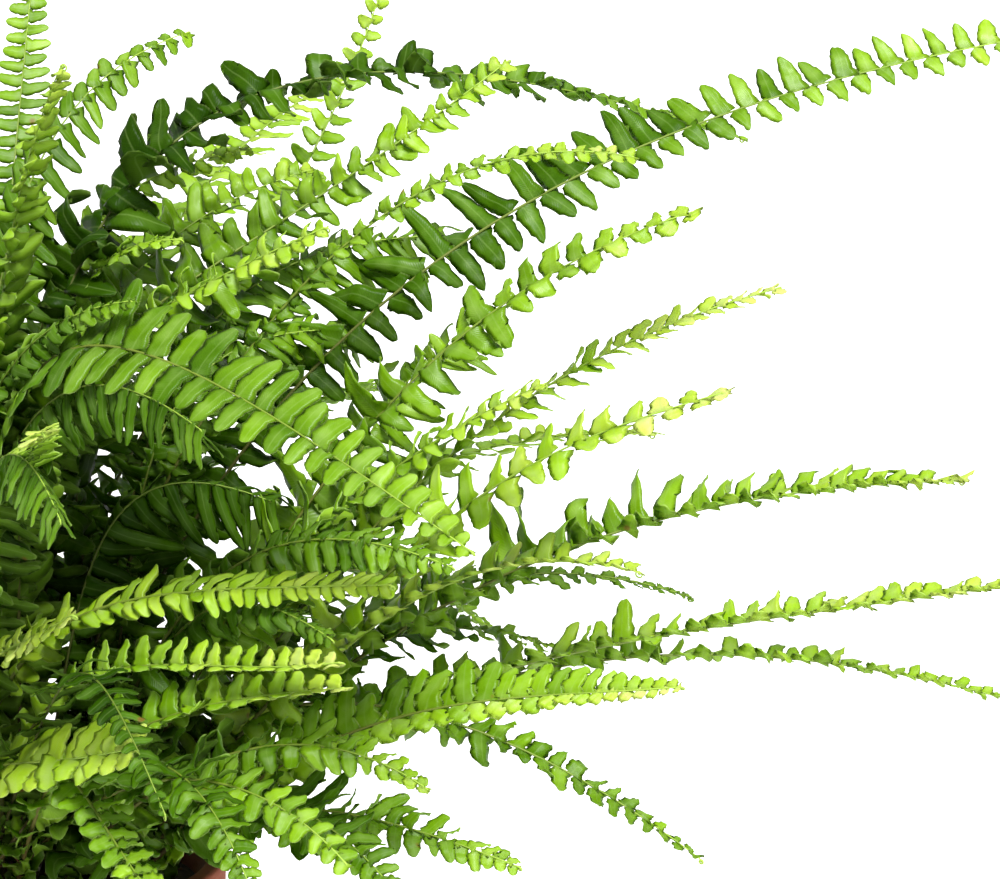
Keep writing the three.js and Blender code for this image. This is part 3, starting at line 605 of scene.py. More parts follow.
def leaflets(skin, base, tangent, side, normal, hand, size, half, habit, tone, chance):
    """Leaflets of one side of a frond, each a closed shell of rings along a middle line. The line
    leaves the rib along the side vector, swept forward and lifted. Its angle below that grows evenly
    with a sine wave in it, and its points are the sums of the cosines and sines of that angle. Across
    the line the blade folds up or down at the midrib, its margins ruffle by a sine that grows with the
    square of the distance across, and it turns evenly about the line. Its edges run side by side from a
    blunt base, with an ear on the forward edge, and close to the tip by the root of one less a high
    power of the place along, slanted back where skewed."""
    count = len(base)
    sweep, lift = np.radians(habit["sweep"])[:, None], np.radians(habit["lift"])[:, None]
    out = np.cos(sweep) * (np.cos(lift) * hand * side + np.sin(lift) * normal) + np.sin(sweep) * tangent
    ahead = unit(tangent - (tangent * out).sum(-1, keepdims=True) * out)
    face = hand * np.cross(ahead, out)
    x = np.concatenate([[0], LEAFLET_STATIONS, [1]])
    angle = habit["bend"][:, None] * x + habit["wave"][:, None] * np.sin(
        2 * math.pi * (habit["rate"][:, None] * x) + habit["phase"][:, None])
    step = np.diff(x)[None]
    middle = (angle[:, 1:] + angle[:, :-1]) / 2
    start = np.zeros((count, 1))
    run = np.concatenate([start, np.cumsum(np.cos(middle) * step, 1)], 1) * size[:, None]
    fall = -np.concatenate([start, np.cumsum(np.sin(middle) * step, 1)], 1) * size[:, None]
    hook = habit["hook"][:, None] * x ** 2 * size[:, None]
    line = (base[:, None] + out[:, None] * run[..., None] + face[:, None] * fall[..., None]
            + ahead[:, None] * hook[..., None])
    turn = np.radians(habit["twist"])[:, None] * (0.35 + 0.65 * x) + np.radians(habit["spin"])[:, None] * x
    bent = face[:, None] * np.cos(angle)[..., None] + out[:, None] * np.sin(angle)[..., None]
    across = ahead[:, None] * np.cos(turn)[..., None] + bent * np.sin(turn)[..., None]
    above = bent * np.cos(turn)[..., None] - ahead[:, None] * np.sin(turn)[..., None]
    inner = x[1:-1]
    point = 1 - habit["point"][:, None] * inner
    scallop = 1 + SCALLOP * np.cos(math.pi * np.arange(len(inner)) + 0.8 * np.sin(40 * chance[:, None]))
    ear = EAR * np.exp(-((inner - EAR_PLACE) / EAR_LENGTH) ** 2)
    forward = (1 - inner ** 8) ** 0.5 * (0.90 + ear)
    rear = (1 - inner ** 5) ** 0.55 * np.minimum(1, 0.66 + 0.34 * inner / 0.17)
    width = half[:, None] * point * scallop
    fore, aft = (width * forward)[..., None], (width * rear)[..., None]
    reach = RING_ACROSS * np.where(RING_ACROSS > 0, fore, aft)
    fold = -np.abs(RING_ACROSS) * (habit["crown"][:, None] * width * rear)[..., None]
    ruffle = np.sin(habit["ruffle"][:, None] + RUFFLE_RUN * inner)[..., None]
    ruffle = ruffle * RING_ACROSS ** 2 * width[..., None]
    swell = RING_SWELL * SWELLING * aft
    thick = bpy.context.scene.fern_sizes.leaflet_thickness / MM
    depth = RING_BELOW * (thick + KEEL * width[..., None])
    height = fold + habit["frill"][:, None, None] * ruffle + swell - depth
    onward = out[:, None] * np.cos(angle)[..., None] - face[:, None] * np.sin(angle)[..., None]
    slant = -habit["skew"][:, None, None] * reach * inner[None, :, None] ** 2
    rings = (line[:, 1:-1, None] + across[:, 1:-1, None] * reach[..., None]
             + above[:, 1:-1, None] * height[..., None] + onward[:, 1:-1, None] * slant[..., None])
    points = np.concatenate([rings.reshape(count, -1, 3), line[:, :1], line[:, -1:]], 1)
    stations, sides = len(inner), len(RING_ACROSS)
    along = np.concatenate([np.repeat(inner, sides), [0, 1]])
    over = np.concatenate([np.tile(RING_ACROSS, stations), [0, 0]])
    place = np.broadcast_to(np.stack([along, over, 0 * over], -1), (count, len(along), 3))
    # Nearness to the margin: the share across, or the sixth power of the share along where that is more.
    edge = np.maximum(np.abs(over), along ** 6)
    leaf = np.stack([np.repeat(tone[:, None], len(along), 1), np.repeat(chance[:, None], len(along), 1),
                     np.broadcast_to(edge, (count, len(along)))], -1)
    quads, triangles = tube_faces(stations, sides)
    if hand > 0:
        quads, triangles = quads[:, ::-1], triangles[:, ::-1]
    under = np.where(np.arange(sides) >= FIRST_BELOW, UNDERSIDE_SLOT, TOP_SLOT)
    quads, triangles = (repeated(faces, count, len(along)) for faces in (quads, triangles))
    slots = np.tile(under, (stations - 1) * count), np.tile(under, 2 * count)
    skin.add(points, quads, triangles, leaf, place, slots)


def blade_width(width, u, tip):
    """Half width of a blade: a short rise, a long even run and a taper to a share of it at the tip."""
    rise = np.minimum(1, 0.6 + 0.4 * u / 0.18)
    taper = np.where(u < 0.5, 1, tip + (1 - tip) * (np.maximum(1 - u, 0) / 0.5) ** 0.8)
    return np.maximum(3.2, width * rise * taper)


def curled_tip(line, roll, radius):
    """Path, sides and normals of the small coil in which a rib ends: a circle that turns 1.6 times from
    the tip, in the upright plane of the rib, while its radius shrinks to a quarter."""
    point, tangent, side, normal = line.stations(np.array([line.length]), np.array([roll], float))
    t = np.linspace(0, 1, TIP_COIL_STATIONS + 1)[1:, None]
    turn = 3.2 * math.pi * t
    size = radius * (1 - 0.75 * t)
    path = point + (tangent * np.sin(turn) + normal * (np.cos(turn) - 1)) * size
    along = tangent * np.cos(turn) - normal * np.sin(turn)
    sides = np.repeat(side, len(t), 0)
    return path, sides, np.cross(along, sides)


def rib(skin, row, line, habit, forked, chance):
    """A frond's petiole and rib: a six-sided tube along its line, whose radius falls by a power of the
    share of the length, with the coil at its end. The roll sets in along the petiole."""
    young = row["age"] == "young"
    s = np.linspace(0 if forked else 0.5 - FOOT_DEPTH, line.length, RIB_STATIONS)
    roll = row["roll"] * np.clip(s / (PETIOLE_SHARE * line.length), 0, 1)
    point, _, side, normal = line.stations(s, roll)
    share = np.clip(s / line.length, 0, 1)
    root_radius = bpy.context.scene.fern_sizes.rib_radius / MM * (0.82 if forked else 1.0)
    radius = root_radius * (1 - 0.78 * share ** 0.75)
    coil = curled_tip(line, row["roll"], 1.9 if young else 1.3)
    point, side, normal = (np.concatenate(pair) for pair in zip((point, side, normal), coil))
    radius = np.concatenate([radius, radius[-1] * np.linspace(1.25, 1.7, TIP_COIL_STATIONS)])
    share = np.concatenate([share, np.ones(TIP_COIL_STATIONS)])
    tone = habit["tone"] + (habit["end"] - habit["tone"]) * share ** 2
    leaf = np.stack([tone, np.full(len(point), chance), share], -1)
    tube(skin, point, side, normal, radius, 6, leaf, np.stack([share, 0 * share, 0 * share], -1), RIB_SLOT)


def frond(skin, row, line, number, forked):
    """One frond: its rib and its leaflets in two rows. These stand a spacing apart, less a share of it
    that grows with the square of the place along the blade, and the near row stands about half a
    spacing on. Around the values of the frond's habit each leaflet has its own, drawn at random and
    looser near the petiole. The tone rises from the blade's middle to its tip."""
    sizes = bpy.context.scene.fern_sizes
    draw = np.random.default_rng(FROND_SEED + number)
    young = row["age"] == "young"
    habit = {"spacing": sizes.leaflet_spacing / MM, **COMMON_HABIT, **AGE_HABITS[row["age"]],
             **HABITS.get(number, {})}
    rib(skin, row, line, habit, forked, draw.random())
    start = PETIOLE_SHARE * line.length
    places, at = [], start * FIRST_LEAFLET
    while at < line.length - LAST_LEAFLET_GAP:
        places.append(at)
        u = max(0.0, (at - start) / (line.length - start))
        at += habit["spacing"] * (1 - habit["close"] * u ** 2)
    for hand, shift in ((1, 0.0), (-1, NEAR_ROW_SHIFT)):
        near = hand < 0
        s = np.array(places)
        gap = np.gradient(s)
        s = np.minimum(s + shift * gap, line.length - LAST_LEAFLET_GAP / 2)
        count = len(s)
        u = np.clip((s - start) / (line.length - start), 0, 1)
        point, tangent, side, normal = line.stations(s, np.full(count, row["roll"], float))
        loose = habit["loose"] * (1.2 - 0.8 * u) + habit["wild"] * np.maximum(0, 1 - u / habit["tame"])
        chance = draw.random(count)
        half = habit["width"] * gap * (1 + 0.3 * (draw.random(count) - 0.5))
        size = blade_width(row["width"], u, habit["tip"]) * (1 + 0.22 * (draw.random(count) - 0.5))
        size = size * habit["size"] * (habit["near"] if near else 1)
        first, last, more = habit["long"]
        giant = (u > first) & (u < last)
        size, half = size * np.where(giant, more, 1), half * np.where(giant, 0.5 + 0.5 * more, 1)
        sweep = habit["sweep"] + hand * habit["shear"] + (12 if young else 26) * u ** 3
        lift = habit["lift"] + (habit["fold"] if near else 0)
        shape = {
            "sweep": sweep + 10 * draw.normal(size=count) * loose,
            "lift": lift + 10 * draw.normal(size=count) * loose,
            "bend": 0.30 + 0.20 * draw.normal(size=count) * loose,
            "wave": habit["wave"] * loose * (0.3 + 1.4 * draw.random(count)),
            "rate": 0.55 + 0.6 * draw.random(count),
            "phase": 2 * math.pi * draw.random(count),
            "hook": habit["hook"] + 0.07 * draw.normal(size=count),
            "twist": hand * habit["twist"] * (0.4 + 1.2 * draw.random(count)) * loose + habit["lean"],
            "spin": 0.8 * habit["twist"] * draw.normal(size=count) * loose,
            "crown": 0.10 + 0.16 * draw.normal(size=count),
            "ruffle": 2 * math.pi * draw.random(count),
            "frill": np.full(count, habit["frill"]),
            "skew": habit["skew"] * (0.5 + draw.random(count)),
            "point": habit["point"] + (0.35 - habit["point"]) * u ** 3 + 0.1 * (draw.random(count) - 0.5),
        }
        tone = habit["tone"] + (habit["end"] - habit["tone"]) * np.clip((u - 0.5) / 0.5, 0, 1) ** 1.4
        # Painted light: the near row's green is made lighter by its brightness.
        tone = tone + (habit["bright"] if near else 0)
        tone = tone + 0.2 * (draw.random(count) - 0.5) * (1.1 - 0.6 * tone)
        tone = np.clip(tone, 0, 1)
        leaflets(skin, point, tangent, side, normal, hand, size, half, shape, tone, chance)


def add_node(tree, kind, inputs=None, stops=(), **settings):
    """Adds a node with its settings and links. The kind is its type's name after ShaderNode. Inputs, by
    socket name or number, are constants, output sockets, or nodes that stand for their first output in
    use. Stops are a ramp's positions and hex colours."""
    made = tree.nodes.new("ShaderNode" + kind)
    for key, value in settings.items():
        setattr(made, key, value)
    for key, value in (inputs or {}).items():
        if isinstance(value, bpy.types.Node):
            value = next(socket for socket in value.outputs if socket.enabled)
        if isinstance(value, bpy.types.NodeSocket):
            tree.links.new(value, made.inputs[key])
        else:
            made.inputs[key].default_value = value
    if stops:
        elements = made.color_ramp.elements
        while len(elements) < len(stops):
            elements.new(0.5)
        for element, (position, code) in zip(elements, stops):
            element.position = position
            element.color = linear(code)
    return made


def new_material(name):
    """A node material with an empty tree, and what adds a node to that tree."""
    material = bpy.data.materials.new(name)
    material.use_nodes = True
    material.node_tree.nodes.clear()
    return material, partial(add_node, material.node_tree)


# In every material below, inputs 1 to 4 of a MapRange are the low and high value that it reads and the
# two that it turns them into, and inputs 6 and 7 of a Mix are the colours for factors 0 and 1.
# Coordinates are in metres, so a pattern's scale is 1000 divided by its size in millimetres.
MIX = {"data_type": "RGBA"}
ADD = {"operation": "ADD"}
SUBTRACT = {"operation": "SUBTRACT"}
MULTIPLY = {"operation": "MULTIPLY"}
MULTIPLY_ADD = {"operation": "MULTIPLY_ADD"}
SINE = {"operation": "SINE"}
ABSOLUTE = {"operation": "ABSOLUTE"}

LEAF_TONES = [(0.0, "#264402"), (0.26, "#4C7604"), (0.48, "#76A20C"), (0.68, "#9CC61C"), (0.86, "#BCD63E"),
              (1.0, "#E0EA7C")]
STALK_TONES = [(0.0, "#3C2A12"), (0.18, "#50491A"), (0.5, "#5C661E"), (0.85, "#728C28"), (1.0, "#9DBC40")]
CLAY_TONES = [(0.3, "#74361D"), (0.55, "#8C4226"), (0.75, "#9C5232")]
SOIL_TONES = [(0.3, "#1B120B"), (0.52, "#35251A"), (0.72, "#5A432F")]


def leaflet_material(name, paleness, bloom, roughness):
    """Living fern leaflet, a thin soft leaf. The upper side has a skin of wax with a satin sheen, partly
    real gloss and partly a painted sheen of paler grey green as strong as bloom; the underside is paler and
    dull. It gives deep to yellow green with a paler midrib, a paler margin that is partly painted edge
    highlight, a base darkened as painted shade, faint side veins and a rare brown fleck."""
    material, node = new_material(name)
    leaf = node("Attribute", attribute_name="leaf").outputs["Vector"]
    place = node("Attribute", attribute_name="place").outputs["Vector"]
    values = node("SeparateXYZ", {0: leaf}).outputs
    spots = node("SeparateXYZ", {0: place}).outputs
    coords = node("TexCoord").outputs["Object"]
    # Mottle: clouds 11 mm across, as wide as a leaflet, and a share of each leaflet's own chance.
    cloud = node("TexNoise", {"Vector": coords, "Scale": 90.0, "Detail": 3.0})
    mottle = node("Math", {0: cloud, 1: 0.22, 2: -0.11}, **MULTIPLY_ADD)
    shade = node("Math", {0: values["Y"], 1: 0.16, 2: mottle}, **MULTIPLY_ADD)
    tone = node("Math", {0: values["X"], 1: node("Math", {0: shade, 1: 0.08}, **SUBTRACT)}, **ADD)
    colour = node("ValToRGB", {"Fac": tone}, stops=LEAF_TONES)
    across = node("Math", {0: spots["Y"]}, **ABSOLUTE)
    # Painted sheen: a greyer, paler green painted in patches over the middle of the leaflet, more on a
    # yellower one, standing in for the sheen of the soft light.
    patch = node("MapRange", {0: cloud, 1: 0.42, 2: 0.66, 3: 0.0, 4: bloom})
    inward = node("MapRange", {0: across, 1: 0.25, 2: 0.85, 3: 1.0, 4: 0.0})
    ripe = node("Math", {0: inward, 1: values["X"]}, **MULTIPLY)
    painted_sheen_mask = node("Math", {0: patch, 1: ripe}, **MULTIPLY)
    colour = node("Mix", {0: painted_sheen_mask, 6: colour, 7: linear("#B8D084")}, **MIX)
    # Base of the leaflet, next to the rib: deeper green, painted shade.
    base = node("MapRange", {0: spots["X"], 1: 0.0, 2: 0.4, 3: 0.30, 4: 0.0})
    colour = node("Mix", {0: base, 6: colour, 7: linear("#1F420A")}, **MIX)
    # Midrib: a faint pale line where the place across is near 0.
    midrib = node("MapRange", {0: across, 1: 0.02, 2: 0.10, 3: 0.16, 4: 0.0})
    colour = node("Mix", {0: midrib, 6: colour, 7: linear("#A9C870")}, **MIX)
    # Margin: a lighter rim, plainer on a yellower leaflet; partly the margin's own paler green and partly a
    # painted edge highlight.
    margin = node("MapRange", {0: values["Z"], 1: 0.86, 2: 1.0, 3: 0.0, 4: 1.0})
    plainer = node("MapRange", {0: tone, 1: 0.1, 2: 0.6, 3: 0.15, 4: 0.5})
    rim = node("Math", {0: margin, 1: plainer}, **MULTIPLY)
    colour = node("Mix", {0: rim, 6: colour, 7: linear("#CCE28C")}, **MIX)
    # Side veins: bands that run out and forward from the midrib, about 1.2 mm apart on a 28 mm leaflet,
    # which is a sine of 150 radians along it.
    slant = node("Math", {0: across, 1: -0.16, 2: spots["X"]}, **MULTIPLY_ADD)
    veins = node("Math", {0: node("Math", {0: slant, 1: 150.0}, **MULTIPLY)}, **SINE)
    vein = node("MapRange", {0: veins, 1: 0.4, 2: 1.0, 3: 0.0, 4: 0.07})
    colour = node("Mix", {0: vein, 6: colour, 7: linear("#2A520C")}, **MIX)
    # Paleness of the whole, for the underside.
    colour = node("Mix", {0: paleness, 6: colour, 7: linear("#98BE48")}, **MIX)
    # A brown fleck, 2 to 4 mm across, in each cell of 33 mm that a leaflet meets.
    cells = node("TexVoronoi", {"Vector": coords, "Scale": 30.0})
    fleck = node("MapRange", {0: cells, 1: 0.03, 2: 0.06, 3: 0.7, 4: 0.0})
    colour = node("Mix", {0: fleck, 6: colour, 7: linear("#84552B")}, **MIX)
    ridge = node("Math", {0: veins, 1: 0.04, 2: cloud}, **MULTIPLY_ADD)
    bump = node("Bump", {"Height": ridge, "Strength": 0.5, "Distance": 0.001})
    # Wax thickens as a leaflet ripens from deep to yellow green in the light.
    wax = node("MapRange", {0: tone, 1: 0.1, 2: 0.6, 3: 0.12, 4: 0.56})
    skin = node("BsdfPrincipled", {"Base Color": colour, "Roughness": roughness, "IOR": 1.42,
                                   "Specular IOR Level": wax, "Normal": bump})
    # Light that passes through the leaf comes out a clear yellow green, which warms the shade.
    lit = node("Mix", {0: 0.45, 6: colour, 7: linear("#88B80A")}, **MIX)
    through = node("BsdfTranslucent", {"Color": lit, "Normal": bump})
    both = node("MixShader", {0: 0.34, 1: skin, 2: through})
    node("OutputMaterial", {"Surface": both})
    return material


def rib_material():
    """Fern petiole and rib: wiry stalk, brown and chaffy at the foot, olive and then green to the tip,
    deeper on a dark frond and yellower on a bright one."""
    material, node = new_material("Fern rib, wiry stalk")
    place = node("Attribute", attribute_name="place").outputs["Vector"]
    leaf = node("Attribute", attribute_name="leaf").outputs["Vector"]
    along = node("SeparateXYZ", {0: place}).outputs["X"]
    tone = node("SeparateXYZ", {0: leaf}).outputs["X"]
    stalk = node("ValToRGB", {"Fac": along}, stops=STALK_TONES)
    deep = node("MapRange", {0: tone, 1: 0.0, 2: 0.4, 3: 0.6, 4: 0.0})
    colour = node("Mix", {0: deep, 6: stalk, 7: linear("#2E3C14")}, **MIX)
    bright = node("MapRange", {0: tone, 1: 0.6, 2: 1.1, 3: 0.0, 4: 0.7})
    colour = node("Mix", {0: bright, 6: colour, 7: linear("#9CC046")}, **MIX)
    # Fibres: 2.4 mm, coarser than real ones of about 0.3 mm, so that they show.
    fibre = node("TexNoise", {"Vector": node("TexCoord").outputs["Object"], "Scale": 420.0})
    bump = node("Bump", {"Height": fibre, "Strength": 0.4, "Distance": 0.0004})
    skin = node("BsdfPrincipled", {"Base Color": colour, "Roughness": 0.55, "IOR": 1.45, "Normal": bump})
    node("OutputMaterial", {"Surface": skin})
    return material


def clay_material():
    """Fired clay, thrown or pressed and unglazed: matte red-brown with fine grit, faint turning rings
    and a pale bloom of salts."""
    material, node = new_material("Terracotta, unglazed")
    coords = node("TexCoord").outputs["Object"]
    # Grit: grains of 1.1 mm, the coarsest that such clay has, so that they show. Clouds: 70 mm.
    grit = node("TexNoise", {"Vector": coords, "Scale": 900.0, "Detail": 4.0})
    cloud = node("TexNoise", {"Vector": coords, "Scale": 14.0, "Detail": 5.0})
    body = node("ValToRGB", {"Fac": cloud}, stops=CLAY_TONES)
    salts = node("MapRange", {0: cloud, 1: 0.58, 2: 0.8, 3: 0.0, 4: 0.35})
    colour = node("Mix", {0: salts, 6: body, 7: linear("#C79D80")}, **MIX)
    speck = node("MapRange", {0: grit, 1: 0.35, 2: 0.65, 3: 0.0, 4: 0.16})
    colour = node("Mix", {0: speck, 6: colour, 7: linear("#6F3318")}, **MIX)
    # Turning rings: one in 2.6 mm of height, which is a sine of 2400 radians a metre, drawn over the
    # grit.
    height = node("SeparateXYZ", {0: coords}).outputs["Z"]
    rings = node("Math", {0: node("Math", {0: height, 1: 2400.0}, **MULTIPLY)}, **SINE)
    relief = node("Math", {0: rings, 1: 0.15, 2: grit}, **MULTIPLY_ADD)
    bump = node("Bump", {"Height": relief, "Strength": 0.5, "Distance": 0.0004})
    skin = node("BsdfPrincipled", {"Base Color": colour, "Roughness": 0.88, "IOR": 1.5, "Normal": bump})
    node("OutputMaterial", {"Surface": skin})
    return material


def soil_material():
    """Damp peat potting mix: crumbly dark brown with lighter fibres, in crumbs of about 4 mm."""
    material, node = new_material("Potting mix, damp")
    coords = node("TexCoord").outputs["Object"]
    crumbs = node("TexNoise", {"Vector": coords, "Scale": 260.0, "Detail": 6.0, "Roughness": 0.7})
    colour = node("ValToRGB", {"Fac": crumbs}, stops=SOIL_TONES)
    bump = node("Bump", {"Height": crumbs, "Strength": 0.9, "Distance": 0.002})
    skin = node("BsdfPrincipled", {"Base Color": colour, "Roughness": 0.93, "Normal": bump})
    node("OutputMaterial", {"Surface": skin})
    return material


def plain_material(name, code, roughness):
    """A matte natural material, rough and without sheen: one colour, browner in clouds of 3 mm."""
    material, node = new_material(name)
    cloud = node("TexNoise", {"Vector": node("TexCoord").outputs["Object"], "Scale": 320.0})
    browner = node("Math", {0: cloud, 1: 0.5}, **MULTIPLY)
    colour = node("Mix", {0: browner, 6: linear(code), 7: linear("#3A2A18")}, **MIX)
    skin = node("BsdfPrincipled", {"Base Color": colour, "Roughness": roughness})
    node("OutputMaterial", {"Surface": skin})
    return material


def turned_points(profile, segments):
    """A surface of revolution: each (radius, height) of the profile carried once round the Z axis."""
    turn = np.arange(segments) * 2 * math.pi / segments
    radius, height = profile[:, 0], profile[:, 1]
    x = radius[:, None] * np.cos(turn)
    y = radius[:, None] * np.sin(turn)
    return np.stack([x, y, np.broadcast_to(height[:, None], x.shape)], -1)


def inner_radius(z):
    """Radius of the pot's inside at a height: it widens evenly from the floor to the rim."""
    low, high = POT_BASE_RADIUS - WALL, RIM_RADIUS - WALL - 1
    return low + (high - low) * (z - POT_FLOOR) / (POT_HEIGHT - POT_FLOOR)


def pot_profile():
    """Half section of the pot as (radius, height): out along its underside, round the foot, up the body
    that leans out evenly, out under the rim band and up it, over the lip, down the inside and in along
    the floor. The lip is half an oval, whose cosine and sine are raised to 0.6 so that it is squarer
    than a circle."""
    band = POT_HEIGHT - RIM_BAND_HEIGHT
    underside = [(r, 0.0) for r in (10.0, 26.0, 38.0, 50.0, 62.0)]
    foot = [(POT_BASE_RADIUS - 2.5, 0.0), (POT_BASE_RADIUS - 0.7, 0.7), (POT_BASE_RADIUS, 2.5)]
    lean = POT_BODY_TOP_RADIUS - POT_BASE_RADIUS
    body = [(POT_BASE_RADIUS + lean * t, band * t) for t in np.linspace(0.03, 0.985, 26)]
    step = [(POT_BODY_TOP_RADIUS + 0.6, band - 0.5), (RIM_RADIUS - 2.4, band),
            (RIM_RADIUS - 1.2, band + 0.6), (RIM_RADIUS - 0.7, band + 2.0)]
    rim = [(RIM_RADIUS - 0.6 + 0.5 * t, band + 2 + (RIM_BAND_HEIGHT - 6) * t)
           for t in np.linspace(0.1, 1, 8)]
    middle = (RIM_RADIUS + inner_radius(POT_HEIGHT)) / 2
    half = (RIM_RADIUS - inner_radius(POT_HEIGHT)) / 2 - 0.1
    lip = [(middle + half * math.copysign(abs(math.cos(a)) ** 0.6, math.cos(a)),
            POT_HEIGHT - LIP_HEIGHT + LIP_HEIGHT * math.sin(a) ** 0.6)
           for a in np.radians(np.linspace(0, 180, 13))]
    inside = [(inner_radius(z), z) for z in np.linspace(POT_HEIGHT - 6, POT_FLOOR + 5, 20)]
    corner = [(inner_radius(POT_FLOOR) - 1.2, POT_FLOOR + 1.2), (inner_radius(POT_FLOOR) - 5, POT_FLOOR)]
    floor = [(r, POT_FLOOR) for r in (50.0, 38.0, 26.0, 10.0)]
    return np.array(underside + foot + body + step + rim + lip + inside + corner + floor)


def drain_cutter():
    """Upright rods where the pot's floor is holed, evenly round a ring."""
    skin = Skin()
    for i in range(DRAIN_COUNT):
        turn = math.radians(45 + 360 / DRAIN_COUNT * i)
        middle = DRAIN_RING_RADIUS * np.array([math.cos(turn), math.sin(turn), 0])
        path = middle + UP * np.array([-8.0, 18.0])[:, None]
        tube(skin, path, np.tile([1.0, 0, 0], (2, 1)), np.tile([0, 1.0, 0], (2, 1)),
             np.full(2, DRAIN_RADIUS), 32, np.zeros((2, 3)), np.zeros((2, 3)), 0)
    return skin.object("drain_cutter", [])


def soil_grains(draw, reach, count):
    """Loose grains on the soil, spread evenly over its round by the root of a random share, most of them
    small by its cube. Each is a ball of five rings of eight and two poles, whose three widths and single
    points vary. The large ones are perlite, in slot 1."""
    r = reach * np.sqrt(draw.random(count))
    turn = 2 * math.pi * draw.random(count)
    size = 0.8 + 2.4 * draw.random(count) ** 3
    lat = np.radians(np.linspace(-62, 62, 5))
    lon = np.arange(8) * math.pi / 4
    ball = np.stack([np.cos(lat)[:, None] * np.cos(lon), np.cos(lat)[:, None] * np.sin(lon),
                     np.broadcast_to(np.sin(lat)[:, None], (5, 8))], -1).reshape(-1, 3)
    ball = np.concatenate([ball, [-UP, UP]])
    quads, triangles = tube_faces(5, 8)
    stretch = 0.6 + 0.8 * draw.random((count, 1, 3))
    rough = 1 + 0.28 * (draw.random((count, len(ball), 1)) - 0.5)
    middle = np.stack([r * np.cos(turn), r * np.sin(turn), np.full(count, SOIL_TOP + 1.7)], -1)
    lumps = middle[:, None] + ball[None] * size[:, None, None] * stretch * rough
    skin = Skin()
    for slot, pick in enumerate((size < 2.0, size >= 2.0)):
        n = int(pick.sum())
        skin.add(lumps[pick], repeated(quads, n, len(ball)), repeated(triangles, n, len(ball)), slot=slot)
    return skin


class FERN_OT_fronds(bpy.types.Operator):
    """Builds every frond with its leaflets, one piece for each solid"""

    bl_idname = "fern.fronds"
    bl_label = "Fronds"

    def execute(self, context):
        # The top's 0.45 is the strength of its painted sheen; the underside has none.
        materials = [leaflet_material("Fern leaflet, satin top", 0.0, 0.45, 0.36), rib_material(),
                     leaflet_material("Fern leaflet, dull underside", 0.16, 0.0, 0.6)]
        for i, plant in enumerate(frond_lines()):
            skin = Skin()
            for row, line, number in plant:
                frond(skin, row, line, number, number > STANDING_COUNT)
            piece = skin.object(f"leafy_frond_{i + 1:02d}", materials)
            dress(piece, [f"frond_{i + 1:02d}"])
        return {"FINISHED"}


class FERN_OT_pot(bpy.types.Operator):
    """Builds the clay pot with its rim band and drain holes"""

    bl_idname = "fern.pot"
    bl_label = "Pot"

    def execute(self, context):
        profile = pot_profile()
        points = turned_points(profile, POT_SEGMENTS)
        # The wall isn't quite round: its radius goes up and down by WALL_WOBBLE three times round the
        # pot.
        bearing = np.arange(POT_SEGMENTS) * 2 * math.pi / POT_SEGMENTS
        above_foot = (profile[:, 0] > POT_BASE_RADIUS + 1)[:, None]
        push = above_foot * (WALL_WOBBLE * np.sin(3 * bearing + 0.7))
        points[..., 0] += push * np.cos(bearing)
        points[..., 1] += push * np.sin(bearing)
        piece = closed_skin(points, 0.0, POT_FLOOR).object("clay_pot", [clay_material()])
        cutter = drain_cutter()
        cut = piece.modifiers.new("Drain holes", "BOOLEAN")
        cut.object = cutter
        cut.solver = "EXACT"
        context.view_layer.update()
        graph = context.evaluated_depsgraph_get()
        finished = bpy.data.meshes.new_from_object(piece.evaluated_get(graph))
        piece.modifiers.clear()
        piece.data = finished
        bpy.data.objects.remove(cutter)
        dress(piece, ["pot"])
        return {"FINISHED"}


class FERN_OT_soil(bpy.types.Operator):
    """Builds the potting mix with its crumbly top, and the loose grains on it"""

    bl_idname = "fern.soil"
    bl_label = "Soil"

    def execute(self, context):
        draw = np.random.default_rng(SOIL_SEED)
        reach = inner_radius(SOIL_TOP) - SOIL_GAP
        low = POT_FLOOR + SOIL_GAP
        # The side follows the pot's inside a little within it, and the rings of the top begin after
        # that.
        side = [(inner_radius(low) - 0.6, low), (inner_radius(90.0) - 0.6, 90.0), (reach, SOIL_TOP - 1.5)]
        top = [(r, SOIL_TOP) for r in np.linspace(reach, 1.5, SOIL_RINGS)]
        points = turned_points(np.array(side + top), SOIL_SEGMENTS)
        x, y, _ = np.moveaxis(points[len(side):], -1, 0)
        # Crumbs: the sum of sine waves of seeded lengths and directions, longer ones higher, and a
        # slight dome, both faded out over 12 mm at the pot.
        spans = np.array([0.75, 6.3, 6.3])[:, None, None, None]
        pace, turn, phase = draw.random((3, SOIL_WAVES, 1, 1)) * spans
        pace = pace + 0.05
        waves = np.sin(pace * (np.cos(turn) * x + np.sin(turn) * y) + phase)
        relief = (waves * 0.35 / (0.5 + pace)).sum(0)
        fade = np.clip((reach - np.hypot(x, y)) / 12, 0, 1)
        points[len(side):, :, 2] += relief * fade * 0.8 + 1.4 * fade
        skin = closed_skin(points, low, points[-1, :, 2].mean())
        dress(skin.object("potting_mix", [soil_material()]), ["soil"])
        # Dry bark crumbs, brown and dull, and perlite, a chalky white grain of blown glass.
        bark = plain_material("Bark crumb, dry", "#6A4A2C", 0.9)
        perlite = plain_material("Perlite grain", "#D9D4C8", 0.85)
        grains = soil_grains(draw, reach - 5, context.scene.fern_sizes.grain_count)
        dress(grains.object("soil_grains", [bark, perlite]), [])
        return {"FINISHED"}


